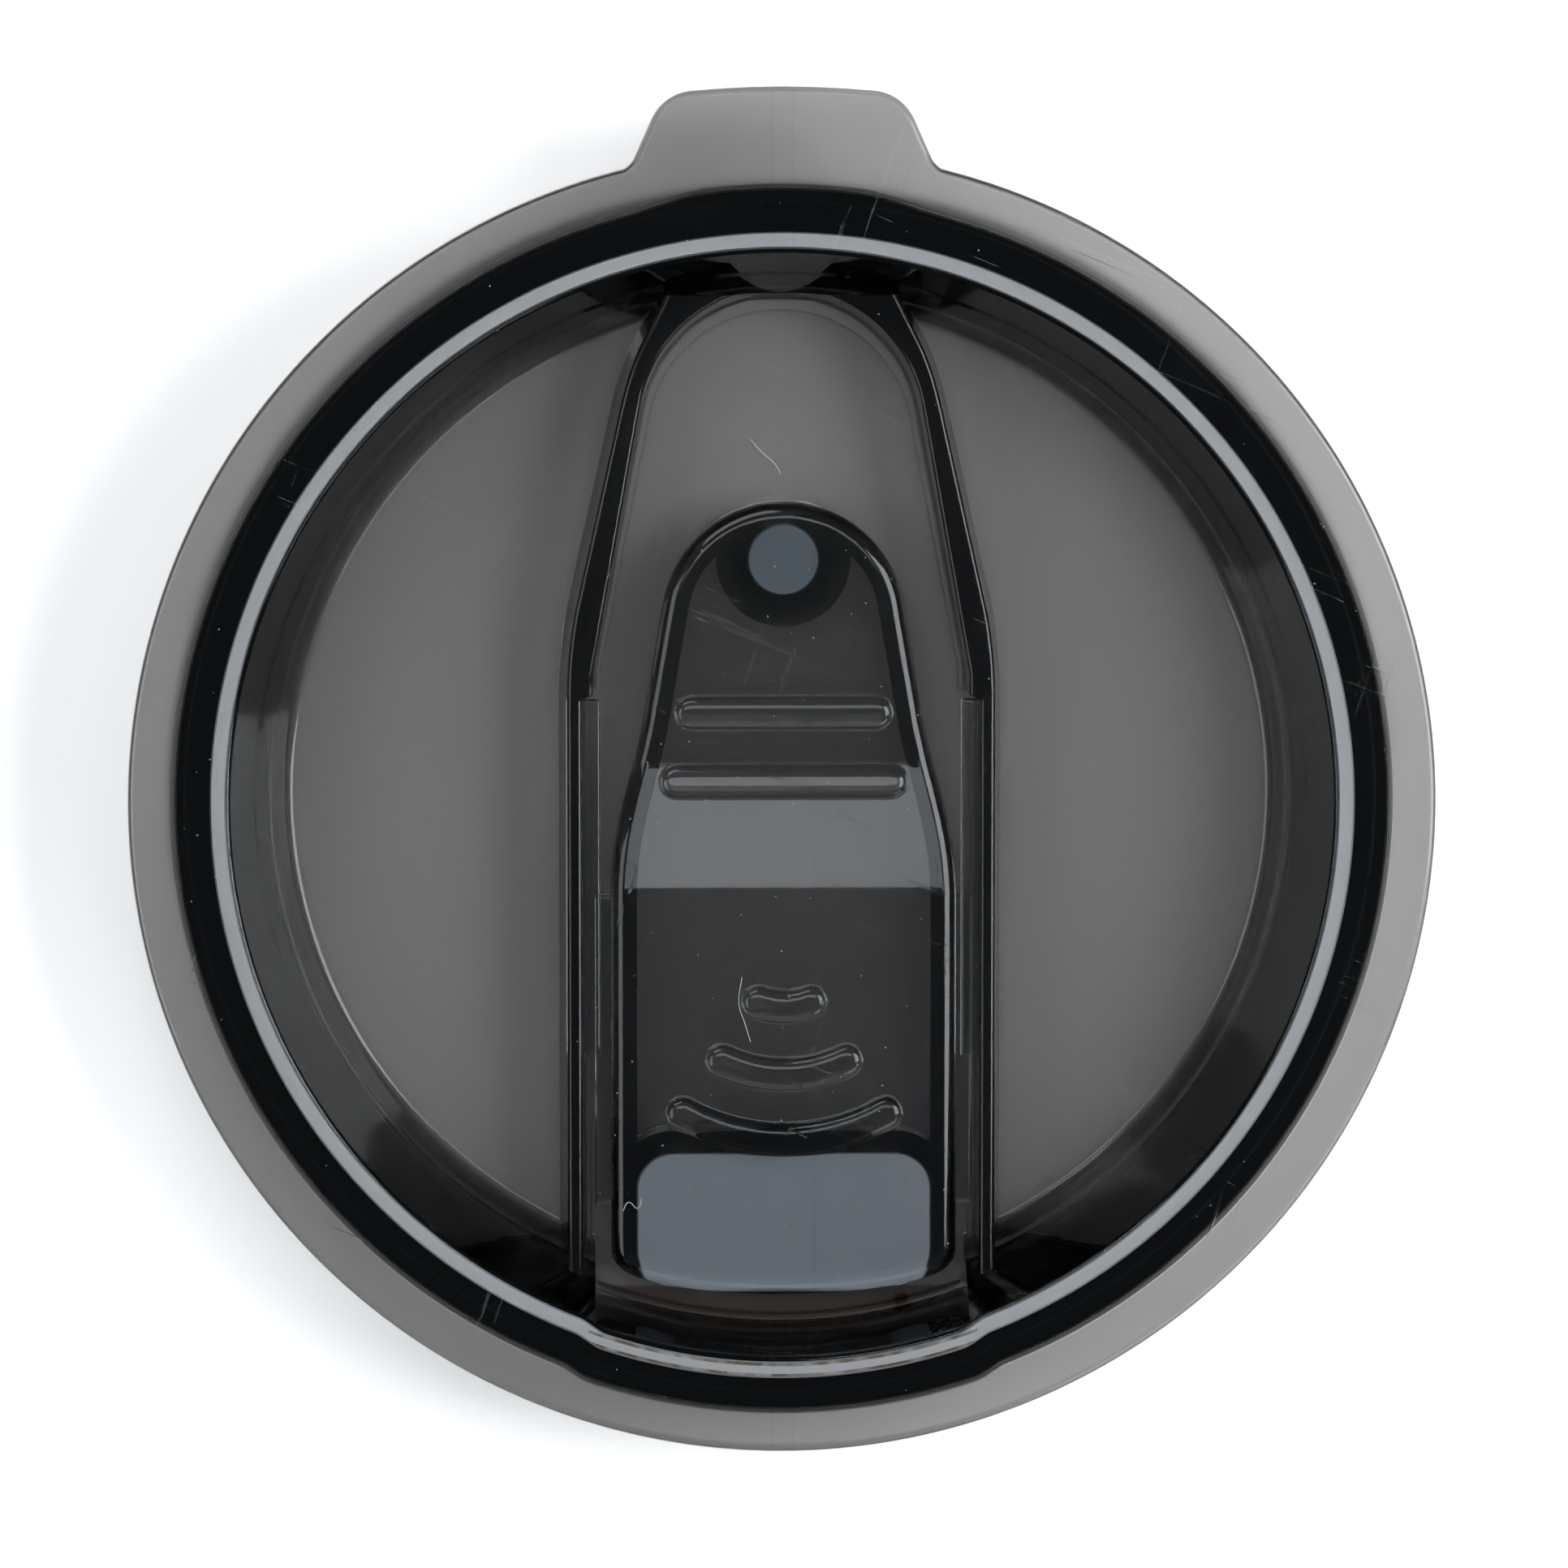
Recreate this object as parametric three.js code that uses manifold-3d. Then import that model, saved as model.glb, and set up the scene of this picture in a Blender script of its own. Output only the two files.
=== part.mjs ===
// Press-on lid for a coffee tumbler, moulded in smoky clear plastic, with a sliding closure.
// Millimetres. +Z is up, +Y points to the thumb tab, and the drinking mouth is at -Y.
// The origin is on the lid's axis, in the flat face under the bowl, which the lid rests on.

import * as THREE from 'three';
import { mergeVertices } from 'three/addons/utils/BufferGeometryUtils.js';
import Module from 'manifold-3d';

const wasm = await Module();
wasm.setup();

// Lid: flange and bowl
const flangeRadius = 44.5;
const lidHeight = 12;
const flangeThickness = 2.2;
const flangeEdgeRadius = 0.45;
const floorThickness = 1.5;
const flangeOverhang = 3.3; // from the skirt to the flange's edge, which sits on the cup's rim

// Lid: skirt that plugs the cup, and the slot behind it that holds the gasket
const skirtThickness = 2.25;
const rimSlotWidth = 1.1;
const rimSlotSkin = 0.65; // plastic left above the slot
const skirtBottom = 3;
const skirtTaper = 0.35; // the skirt is thinner by this at its lower edge, on each side
const skirtFillet = 0.5;
const plugLeadIn = 0.5; // chamfer at the foot of the plug wall
const plugLeadInHeight = 1;

// Lid: bowl inside the slot
const lipWidth = 0.35; // between the slot and the bowl's edge
const lipRounding = 0.4;
const upperWallRun = 1.4; // how far the wall comes in, from the lip down to its ledge
const ledgeHeight = 7.5;
const ledgeWidth = 0.22;
const lowerWallRun = 2; // from the ledge down to the floor
const footFillet = 0.7;

// Lid: where the ring swells outwards
const mouthJog = 0.45; // the lip steps out by this at the mouth
const mouthJogHalfWidth = 13.3;
const mouthJogBlend = 1.1;
const tabSwell = 0.5; // the skirt is thicker by this under the tab
const tabSwellHalfWidth = 7.5;
const tabSwellBlend = 3;

// Lid: thumb tab
const tabLength = 4.25; // past the flange
const tabCrown = 0.25;
const tabTopHalfWidth = 5.6;
const tabCornerHalfWidth = 9.1;
const tabCornerDrop = 2.7;
const tabSideHalfWidth = 10.1; // where its side runs into the fillet
const tabSideRise = 1.2;
const tabRootHalfWidth = 12.9;
const tabCornerPull = 0.9; // how much the corners are drawn in and the fillets out

// Lid: channel for the slider
const channelHalfWidth = 13.5;
const channelNarrowing = 0.75; // on each side, past the retaining lips
const channelStraightEnd = 8.5; // the rails start to converge here
const channelEndRadius = 9.6;
const channelEndReach = 0.15; // how far its far end passes the foot of the bowl's wall
const channelEndSlope = 0.6; // and how much further at the rails' tops
const channelDraft = 0.15; // the channel is wider by this at the rails' tops
const channelMouthHalfWidth = 12.8;
const channelMouthRun = 0.7; // how far the wall at the mouth comes in from the lip
const channelStepHeight = 0.25; // raised border round the channel's floor
const channelStepWidth = 0.5;
const channelEndStepWidth = 1.1;
const railThickness = 1.2; // at its top
const railDraft = 0.7; // the rail is thicker by this at its foot
const railTop = 7;
const railCornerHalfWidth = 10.6;
const railCornerRise = 4.2; // from the centre of the far end's arc
const railWallHalfWidth = 7.9;
const railWallRise = 9.8;
const lipGapHalfWidth = 12.4; // half the gap between the retaining lips
const lipDrop = 0.7; // the retaining lips lie lower than the rails by this
const lipThickness = 1.1;
const lipStart = -17.9;
const lipEnd = 6.7;

// Lid: openings in the floor
const mouthWidth = 16.6;
const mouthLength = 6;
const mouthCornerRadius = 2;
const mouthInset = 4.7; // from the foot of the bowl's wall to the middle of the mouth
const ventHoleRadius = 1.3;

// Slider
const sliderClearance = 0.3;
const sliderOffsetX = 0.2; // it lies a little nearer the right rail
const sliderHalfWidth = 11.9;
const sliderFrontGap = 2.2; // between the slider and the wall at the mouth
const sliderFrontCrown = 1.1;
const sliderCornerRadius = 2.2;
const shoulderStart = -7.2;
const shoulderEnd = 5;
const shoulderHalfWidth = 9.7;
const sliderEndRadius = 8.4;
const sliderEndCentre = 11.8;
const sliderTop = 6.5;
const sliderLowTop = 5.3; // top of the thinner end, over the vent
const rampStart = -6.8;
const rampEnd = 2.4;
const sliderEdgeRadius = 1.1;
const plateThickness = 1;
const sliderWall = 1.8;
const wingHalfWidth = 13;
const wingThickness = 1.1;
const wingInset = 6.2; // from the slider's front
const wingLength = 21.5;

// Slider: grips on its top
const gripHeight = 0.55;
const gripWidth = 2.1;
const straightGrips = [
  { y: 5.7, length: 14.8 },
  { y: 1, length: 16.8 },
];
const arcGripCentreY = -9.5;
const arcGrips = [
  { radius: 5, halfAngle: 21 },
  { radius: 9.7, halfAngle: 26 },
  { radius: 14.2, halfAngle: 29.5 },
];

// Seals
const sealClearance = 0.1; // between a seal and the pocket that grips it
const sealLift = 0.3; // between a seal and the floor that it slides on
const mouthSealWidth = 20.2;
const mouthSealLength = 9.3;
const mouthSealCorner = 2.5;
const pocketWall = 1.6;
const ventSealRadius = 2.4;
const ventBossRadius = 4.6;
const ventY = 16.2;
const gasketFootThickness = 1.2;
const gasketLipReach = 0.8;
const gasketLipRise = 0.6;

// Smoothness
const azimuthStep = 3.75;
const blendSteps = 4;
const arcSteps = 5;
const roundingSteps = 3;

const skirtRadius = flangeRadius - flangeOverhang;
const rimSlotOuter = skirtRadius - skirtThickness;
const rimSlotInner = rimSlotOuter - rimSlotWidth;
const lipRadius = rimSlotInner - lipWidth;
const ledgeRadius = lipRadius - upperWallRun;
const footRadius = ledgeRadius - lowerWallRun;
const tabReach = flangeRadius + tabLength;
const channelMouthRadius = lipRadius - channelMouthRun;
const channelEndCentre = footRadius + channelEndReach - channelEndRadius;
const mouthCentreY = mouthInset - footRadius;
const sliderFront = sliderFrontGap - channelMouthRadius;
const lipTop = railTop - lipDrop;
const floorTop = floorThickness;
const flangeBottom = lidHeight - flangeThickness;
const slotCeiling = lidHeight - rimSlotSkin;
const overshoot = 1; // how far cutting shapes run past what they cut
const degree = Math.PI / 180;

const smokyColor = 0x34312f;
const sliderColor = 0x2c2a2c;
const siliconeColor = 0xc9ced0;

function solidFrom(geometry) {
  geometry.deleteAttribute('normal');
  geometry.deleteAttribute('uv');
  const merged = mergeVertices(geometry, 1e-4);
  const vertProperties = new Float32Array(merged.attributes.position.array);
  const triVerts = new Uint32Array(merged.index.array);
  return new wasm.Manifold(new wasm.Mesh({ numProp: 3, vertProperties, triVerts }));
}

function meshFrom(solid, name, color, roughness) {
  const cut = solid.getMesh();
  const geometry = new THREE.BufferGeometry();
  geometry.setAttribute('position', new THREE.BufferAttribute(cut.vertProperties, 3));
  geometry.setIndex(new THREE.BufferAttribute(cut.triVerts, 1));
  geometry.computeVertexNormals();
  const material = new THREE.MeshStandardMaterial({ color, roughness, metalness: 0 });
  const mesh = new THREE.Mesh(geometry, material);
  mesh.name = name;
  return mesh;
}

// A closed body from rings of points with equal counts. Each ring is ordered so that point i
// and point n-1-i lie at one y, and the end rings are closed by rungs between those pairs.
function ladderSolid(rings) {
  const count = rings[0].length;
  const positions = rings.flat(2);
  const indices = [];
  for (let level = 0; level + 1 < rings.length; level++) {
    for (let i = 0; i < count; i++) {
      const low = level * count;
      const next = (i + 1) % count;
      indices.push(low + i, low + next, low + count + next);
      indices.push(low + i, low + count + next, low + count + i);
    }
  }
  const top = (rings.length - 1) * count;
  for (let i = 0; i < count / 2 - 1; i++) {
    const far = count - 1 - i;
    indices.push(i, far, i + 1, i + 1, far, far - 1);
    indices.push(top + i, top + i + 1, top + far, top + i + 1, top + far - 1, top + far);
  }
  return solidFrom(indexedGeometry(positions, indices));
}

function indexedGeometry(positions, indices) {
  const geometry = new THREE.BufferGeometry();
  geometry.setAttribute('position', new THREE.BufferAttribute(new Float32Array(positions), 3));
  geometry.setIndex(indices);
  return geometry;
}

function prism(shape, bottom, top) {
  const geometry = new THREE.ExtrudeGeometry(shape, {
    depth: top - bottom,
    bevelEnabled: false,
    curveSegments: 2 * arcSteps,
  });
  geometry.translate(0, 0, bottom);
  return solidFrom(geometry);
}

function revolve(profile) {
  const points = profile.map(([radius, height]) => new THREE.Vector2(radius, height));
  const geometry = new THREE.LatheGeometry(points, 360 / azimuthStep);
  geometry.rotateX(Math.PI / 2);
  return solidFrom(geometry);
}

function arcPoints(centreR, centreZ, radius, fromDegrees, toDegrees) {
  const points = [];
  for (let i = 0; i <= roundingSteps; i++) {
    const angle = (fromDegrees + ((toDegrees - fromDegrees) * i) / roundingSteps) * degree;
    points.push([centreR + radius * Math.cos(angle), centreZ + radius * Math.sin(angle)]);
  }
  return points;
}

function smoothStep(edgeFrom, edgeTo, value) {
  return THREE.MathUtils.smoothstep(value, edgeFrom, edgeTo);
}

function roundedRectangle(width, length, corner, centreY) {
  const halfWidth = width / 2;
  const halfLength = length / 2;
  const shape = new THREE.Shape();
  shape.absarc(halfWidth - corner, centreY - halfLength + corner, corner, -Math.PI / 2, 0);
  shape.absarc(halfWidth - corner, centreY + halfLength - corner, corner, 0, Math.PI / 2);
  shape.absarc(corner - halfWidth, centreY + halfLength - corner, corner, Math.PI / 2, Math.PI);
  shape.absarc(corner - halfWidth, centreY - halfLength + corner, corner, Math.PI, 1.5 * Math.PI);
  shape.closePath();
  return shape;
}

// Angles round the ring, closer together where the lip steps out at the mouth
function ringAzimuths() {
  const jogAngle = Math.asin(mouthJogHalfWidth / rimSlotOuter) / degree;
  const blendAngle = mouthJogBlend / rimSlotOuter / degree;
  const angles = [];
  for (let angle = 0; angle < 360; angle += azimuthStep) {
    const fromMouth = Math.abs(angle - 270);
    if (Math.abs(fromMouth - jogAngle) > blendAngle + azimuthStep / 4) {
      angles.push(angle);
    }
  }
  for (const side of [-1, 1]) {
    for (let i = -blendSteps / 2; i <= blendSteps / 2; i++) {
      angles.push(270 + side * jogAngle + (2 * blendAngle * i) / blendSteps);
    }
  }
  return angles.sort((a, b) => a - b);
}

// How far the lip steps out and the skirt swells at one angle
function ringSwell(azimuth) {
  const across = Math.abs(rimSlotOuter * Math.cos(azimuth * degree));
  const atMouth = Math.sin(azimuth * degree) < 0;
  const jogEdge = mouthJogHalfWidth;
  const jogPart = 1 - smoothStep(jogEdge - mouthJogBlend, jogEdge + mouthJogBlend, across);
  const tabEdge = tabSwellHalfWidth;
  const tabPart = 1 - smoothStep(tabEdge - tabSwellBlend, tabEdge + tabSwellBlend, across);
  return { lip: atMouth ? mouthJog * jogPart : 0, skirt: atMouth ? 0 : tabSwell * tabPart };
}

// Sweeps a closed section round the axis; sectionAt(azimuth) gives its [radius, height] points
function ringSweep(sectionAt) {
  const azimuths = ringAzimuths();
  const positions = [];
  for (const azimuth of azimuths) {
    for (const [radius, height] of sectionAt(azimuth)) {
      positions.push(radius * Math.cos(azimuth * degree), radius * Math.sin(azimuth * degree), height);
    }
  }
  const count = sectionAt(0).length;
  const indices = [];
  for (let step = 0; step < azimuths.length; step++) {
    const here = step * count;
    const there = ((step + 1) % azimuths.length) * count;
    for (let i = 0; i < count; i++) {
      const next = (i + 1) % count;
      indices.push(here + i, there + i, there + next, here + i, there + next, here + next);
    }
  }
  return solidFrom(indexedGeometry(positions, indices));
}

// Section of the flange, lip, bowl wall, rim slot and skirt, counter-clockwise
function ringSection(azimuth) {
  const { lip, skirt } = ringSwell(azimuth);
  const out = lip;
  const skirtOut = skirtRadius + lip + skirt;
  const edge = flangeEdgeRadius;
  const edgeCentre = flangeRadius - edge;
  return [
    [footRadius - footFillet - overshoot, 0],
    [rimSlotInner - plugLeadIn, 0],
    [rimSlotInner + out, plugLeadInHeight],
    [rimSlotInner + out, slotCeiling],
    [rimSlotOuter + out, slotCeiling],
    [rimSlotOuter + out + skirtTaper, skirtBottom],
    [skirtRadius + out - skirtTaper, skirtBottom],
    ...arcPoints(skirtOut + skirtFillet, flangeBottom - skirtFillet, skirtFillet, 180, 90),
    ...arcPoints(edgeCentre, flangeBottom + edge, edge, -90, 0),
    ...arcPoints(edgeCentre, lidHeight - edge, edge, 0, 90),
    ...arcPoints(lipRadius + lipRounding + out, lidHeight - lipRounding, lipRounding, 90, 160),
    [ledgeRadius, ledgeHeight],
    [ledgeRadius - ledgeWidth, ledgeHeight - ledgeWidth],
    ...arcPoints(footRadius - footFillet, floorTop + footFillet, footFillet, -18, -90),
  ];
}

function tabOutline() {
  const rootY = Math.sqrt(flangeRadius ** 2 - tabRootHalfWidth ** 2);
  const sideY = rootY + tabSideRise;
  const cornerY = tabReach - tabCornerDrop;
  const crownY = tabReach - tabCrown;
  const pulledSide = tabSideHalfWidth + tabCornerPull;
  const pulledCorner = tabCornerHalfWidth - tabCornerPull;
  const shape = new THREE.Shape();
  shape.moveTo(tabRootHalfWidth, rootY - 2 * overshoot);
  shape.lineTo(tabRootHalfWidth, rootY);
  shape.quadraticCurveTo(pulledSide, rootY, tabSideHalfWidth, sideY);
  shape.lineTo(tabCornerHalfWidth, cornerY);
  shape.quadraticCurveTo(pulledCorner, crownY, tabTopHalfWidth, crownY);
  shape.quadraticCurveTo(0, tabReach + tabCrown, -tabTopHalfWidth, crownY);
  shape.quadraticCurveTo(-pulledCorner, crownY, -tabCornerHalfWidth, cornerY);
  shape.lineTo(-tabSideHalfWidth, sideY);
  shape.quadraticCurveTo(-pulledSide, rootY, -tabRootHalfWidth, rootY);
  shape.lineTo(-tabRootHalfWidth, rootY - 2 * overshoot);
  shape.closePath();
  return shape;
}

// The tab has the flange's rounded edge
function tab() {
  const geometry = new THREE.ExtrudeGeometry(tabOutline(), {
    depth: flangeThickness - 2 * flangeEdgeRadius,
    bevelThickness: flangeEdgeRadius,
    bevelSize: flangeEdgeRadius,
    bevelOffset: -flangeEdgeRadius,
    bevelSegments: 3,
    curveSegments: 6,
  });
  geometry.translate(0, 0, flangeBottom + flangeEdgeRadius);
  return solidFrom(geometry);
}

// Plan of the channel inside its rails, from the mouth end round the far end
function channelPlan(spread, endShift = 0) {
  const half = channelHalfWidth + spread;
  const endRadius = channelEndRadius + spread;
  const shape = new THREE.Shape();
  const narrow = half - channelNarrowing;
  shape.moveTo(half, -footRadius);
  shape.lineTo(half, lipEnd);
  shape.lineTo(narrow, lipEnd + channelNarrowing / 2);
  shape.lineTo(narrow, channelStraightEnd);
  shape.absarc(0, channelEndCentre + endShift, endRadius, 10 * degree, 170 * degree);
  shape.lineTo(-narrow, channelStraightEnd);
  shape.lineTo(-narrow, lipEnd + channelNarrowing / 2);
  shape.lineTo(-half, lipEnd);
  shape.lineTo(-half, -footRadius);
  shape.closePath();
  return shape;
}

function channelSpace() {
  const steps = 3 * arcSteps;
  const stepTop = floorTop + channelStepHeight;
  const inner = channelPlan(-channelStepWidth, channelStepWidth - channelEndStepWidth).getPoints(steps);
  const points = channelPlan(0).getPoints(steps);
  const wide = channelPlan(channelDraft, channelEndSlope).getPoints(steps);
  return ladderSolid([
    pairedRing(inner, floorTop),
    pairedRing(inner, stepTop),
    pairedRing(points, stepTop),
    pairedRing(wide, railTop),
    pairedRing(wide, railTop + overshoot),
  ]);
}

// Drops the repeated last point of a closed outline and lifts the outline to one height
function pairedRing(points, height) {
  const open = points[0].equals(points[points.length - 1]) ? points.slice(0, -1) : points;
  return open.map((point) => [point.x, point.y, height]);
}

// Right-hand edge of the rails' plan, mirrored to a full outline
function railPlan(spread) {
  const outer = channelHalfWidth + railThickness + spread;
  const right = [
    [outer, overshoot - footRadius],
    [outer, channelStraightEnd + railThickness],
    [railCornerHalfWidth + spread, channelEndCentre + railCornerRise],
    [railWallHalfWidth + spread, channelEndCentre + railWallRise],
  ];
  return [...right, ...right.map(([x, y]) => [-x, y]).reverse()];
}

function railBlock() {
  const foot = railPlan(railDraft).map(([x, y]) => [x, y, 0]);
  const top = railPlan(0).map(([x, y]) => [x, y, railTop]);
  return ladderSolid([foot, top]);
}

// Space at the mouth end, where the channel cuts back into the bowl's wall
function mouthEndSpace() {
  const topRadius = lipRadius + mouthJog;
  const space = revolve([
    [0, floorTop],
    [channelMouthRadius - footFillet / 2, floorTop],
    [channelMouthRadius, floorTop + footFillet / 2],
    [topRadius, lidHeight - lipRounding],
    [topRadius, lidHeight + overshoot],
    [0, lidHeight + overshoot],
  ]);
  const shape = new THREE.Shape();
  shape.moveTo(-channelMouthHalfWidth, -flangeRadius);
  shape.lineTo(channelMouthHalfWidth, -flangeRadius);
  shape.lineTo(channelMouthHalfWidth, lipStart);
  shape.lineTo(-channelMouthHalfWidth, lipStart);
  shape.closePath();
  return space.intersect(prism(shape, floorTop - overshoot, lidHeight + overshoot));
}

function retainingLip(side) {
  const outer = channelHalfWidth + railThickness / 2;
  const middle = (lipGapHalfWidth + outer) / 2;
  const width = outer - lipGapHalfWidth;
  const lip = new THREE.BoxGeometry(width, lipEnd - lipStart, lipThickness);
  lip.translate(side * middle, (lipStart + lipEnd) / 2, lipTop - lipThickness / 2);
  return solidFrom(lip);
}

function lidBody() {
  const floorDisc = new THREE.CylinderGeometry(
    footRadius - footFillet, footRadius - footFillet, floorThickness, 360 / azimuthStep,
  );
  floorDisc.rotateX(Math.PI / 2);
  floorDisc.translate(0, 0, floorThickness / 2);
  let body = ringSweep(ringSection).add(solidFrom(floorDisc)).add(tab());
  body = body.add(railBlock().subtract(channelSpace()));
  body = body.subtract(mouthEndSpace());
  for (const side of [-1, 1]) {
    body = body.add(retainingLip(side));
  }
  const mouth = roundedRectangle(mouthWidth, mouthLength, mouthCornerRadius, mouthCentreY);
  body = body.subtract(prism(mouth, -overshoot, floorTop + overshoot));
  const vent = new THREE.Shape().absarc(0, ventY, ventHoleRadius, 0, 2 * Math.PI);
  return body.subtract(prism(vent, -overshoot, floorTop + overshoot));
}

// Silicone ring: a leg up the slot, and a foot under the skirt with a lip that grips the cup
function gasketSection(azimuth) {
  const { lip } = ringSwell(azimuth);
  const inner = rimSlotInner + lip + sealClearance;
  const outer = rimSlotOuter + lip - sealClearance;
  const top = slotCeiling - sealClearance;
  const footTop = skirtBottom - sealClearance;
  const footBottom = footTop - gasketFootThickness;
  const root = skirtRadius + lip;
  const tip = root + gasketLipReach;
  return [
    [inner, footBottom + sealClearance],
    [inner + sealClearance, footBottom],
    [root - gasketFootThickness / 2, footBottom],
    [tip, footTop + gasketLipRise / 2],
    [tip, footTop + gasketLipRise],
    [root - sealClearance, footTop],
    [outer + skirtTaper, footTop],
    [outer, top],
    [inner, top],
  ];
}

// Right-hand half of the slider's plan, from the middle of the front edge to the tip
function sliderHalfPlan() {
  const corner = sliderCornerRadius;
  const sideY = sliderFront + sliderFrontCrown;
  const path = new THREE.Path();
  path.moveTo(0.02, sliderFront);
  path.quadraticCurveTo(sliderHalfWidth / 2, sliderFront, sliderHalfWidth - corner, sideY);
  path.quadraticCurveTo(sliderHalfWidth, sideY + corner / 4, sliderHalfWidth, sideY + corner);
  path.lineTo(sliderHalfWidth, shoulderStart);
  path.bezierCurveTo(
    sliderHalfWidth, shoulderStart + 5,
    shoulderHalfWidth + 0.9, shoulderEnd - 4.5,
    shoulderHalfWidth, shoulderEnd,
  );
  path.absarc(0, sliderEndCentre, sliderEndRadius, 10 * degree, 89.8 * degree);
  return path.getPoints(2 * arcSteps);
}

// The half plan moved inwards, mirrored to a full ring, at heights given by heightAt(y)
function sliderRing(inset, heightAt) {
  const half = sliderHalfPlan();
  const moved = half.map((point, i) => {
    const before = half[Math.max(i - 1, 0)];
    const after = half[Math.min(i + 1, half.length - 1)];
    const along = after.clone().sub(before).normalize();
    if (i === 0) along.set(1, 0);
    if (i === half.length - 1) along.set(-1, 0);
    const x = Math.max(point.x - inset * along.y, 0.01);
    return new THREE.Vector2(x, point.y + inset * along.x);
  });
  const right = moved.map((point) => [point.x + sliderOffsetX, point.y, heightAt(point.y)]);
  const left = moved.map((point) => [sliderOffsetX - point.x, point.y, heightAt(point.y)]);
  return [...right, ...left.reverse()];
}

function sliderTopAt(y) {
  const along = THREE.MathUtils.clamp((y - rampStart) / (rampEnd - rampStart), 0, 1);
  return sliderTop + (sliderLowTop - sliderTop) * along;
}

function sliderShell() {
  const bottom = floorTop + sealLift + sliderClearance;
  const rings = [sliderRing(0, () => bottom)];
  for (let i = 0; i <= roundingSteps; i++) {
    const angle = (90 * i * degree) / roundingSteps;
    const inset = sliderEdgeRadius * (1 - Math.cos(angle));
    const drop = sliderEdgeRadius * (1 - Math.sin(angle));
    rings.push(sliderRing(inset, (y) => sliderTopAt(y) - drop));
  }
  const hollow = ladderSolid([
    sliderRing(sliderWall, () => bottom - overshoot),
    sliderRing(sliderWall, (y) => sliderTopAt(y) - plateThickness),
  ]);
  return ladderSolid(rings).subtract(hollow);
}

function pocketFrame() {
  const width = mouthSealWidth + 2 * sealClearance;
  const length = mouthSealLength + 2 * sealClearance;
  const bottom = floorTop + sealLift + sliderClearance;
  const outer = roundedRectangle(
    width + 2 * pocketWall, length + 2 * pocketWall, mouthSealCorner + pocketWall, mouthCentreY,
  );
  return { outer: prism(outer, bottom, sliderTop - plateThickness / 2), width, length, bottom };
}

function ventBoss() {
  const bottom = floorTop + sealLift + sliderClearance;
  const boss = new THREE.Shape().absarc(0, ventY, ventBossRadius, 0, 2 * Math.PI);
  return prism(boss, bottom, sliderLowTop - plateThickness / 2);
}

function wing(side) {
  const top = lipTop - lipThickness - sliderClearance;
  const inner = sliderHalfWidth - sliderWall / 2;
  const geometry = new THREE.BoxGeometry(wingHalfWidth - inner, wingLength, wingThickness);
  const x = sliderOffsetX + (side * (wingHalfWidth + inner)) / 2;
  geometry.translate(x, sliderFront + wingInset + wingLength / 2, top - wingThickness / 2);
  return solidFrom(geometry);
}

// A rib with a round back along a path, its ends closed by half a revolve
function grip(path, sections) {
  const rib = new THREE.Shape().absellipse(0, 0, gripHeight, gripWidth / 2, 0, 2 * Math.PI);
  const geometry = new THREE.ExtrudeGeometry(rib, {
    steps: sections, extrudePath: path, bevelEnabled: false, curveSegments: 2 * arcSteps,
  });
  let solid = solidFrom(geometry);
  for (const end of [path.getPoint(0), path.getPoint(1)]) {
    const cap = new THREE.SphereGeometry(gripWidth / 2, 2 * arcSteps, 2 * arcSteps);
    cap.scale(1, 1, (2 * gripHeight) / gripWidth);
    cap.translate(end.x, end.y, end.z);
    solid = solid.add(solidFrom(cap));
  }
  return solid;
}

function straightGrip({ y, length }) {
  const reach = (length - gripWidth) / 2;
  const height = sliderTopAt(y);
  const path = new THREE.LineCurve3(
    new THREE.Vector3(sliderOffsetX - reach, y, height),
    new THREE.Vector3(sliderOffsetX + reach, y, height),
  );
  return grip(path, 1);
}

function arcGrip({ radius, halfAngle }) {
  const points = [];
  for (let i = -arcSteps; i <= arcSteps; i++) {
    const angle = (-90 + (halfAngle * i) / arcSteps) * degree;
    const x = sliderOffsetX + radius * Math.cos(angle);
    points.push(new THREE.Vector3(x, arcGripCentreY + radius * Math.sin(angle), sliderTop));
  }
  return grip(new THREE.CatmullRomCurve3(points), 2 * arcSteps);
}

function slider() {
  const pocket = pocketFrame();
  let body = sliderShell();
  const inside = ladderSolid([
    sliderRing(sliderEdgeRadius, () => pocket.bottom),
    sliderRing(sliderEdgeRadius, (y) => sliderTopAt(y) - sliderEdgeRadius),
  ]);
  body = body.add(pocket.outer.translate([sliderOffsetX, 0, 0]).intersect(inside));
  body = body.add(ventBoss().translate([sliderOffsetX, 0, 0]));
  const pad = roundedRectangle(
    pocket.width, pocket.length, mouthSealCorner + sealClearance, mouthCentreY,
  );
  const padTop = sliderTop - plateThickness;
  body = body.subtract(prism(pad, floorTop, padTop).translate([sliderOffsetX, 0, 0]));
  const disc = new THREE.Shape().absarc(0, ventY, ventSealRadius + sealClearance, 0, 2 * Math.PI);
  const discTop = sliderLowTop - plateThickness;
  body = body.subtract(prism(disc, floorTop, discTop).translate([sliderOffsetX, 0, 0]));
  for (const side of [-1, 1]) {
    body = body.add(wing(side));
  }
  for (const size of straightGrips) {
    body = body.add(straightGrip(size));
  }
  for (const size of arcGrips) {
    body = body.add(arcGrip(size));
  }
  return body;
}

function mouthSeal() {
  const pad = roundedRectangle(mouthSealWidth, mouthSealLength, mouthSealCorner, mouthCentreY);
  const top = sliderTop - plateThickness - sealClearance;
  return prism(pad, floorTop + sealLift, top).translate([sliderOffsetX, 0, 0]);
}

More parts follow.
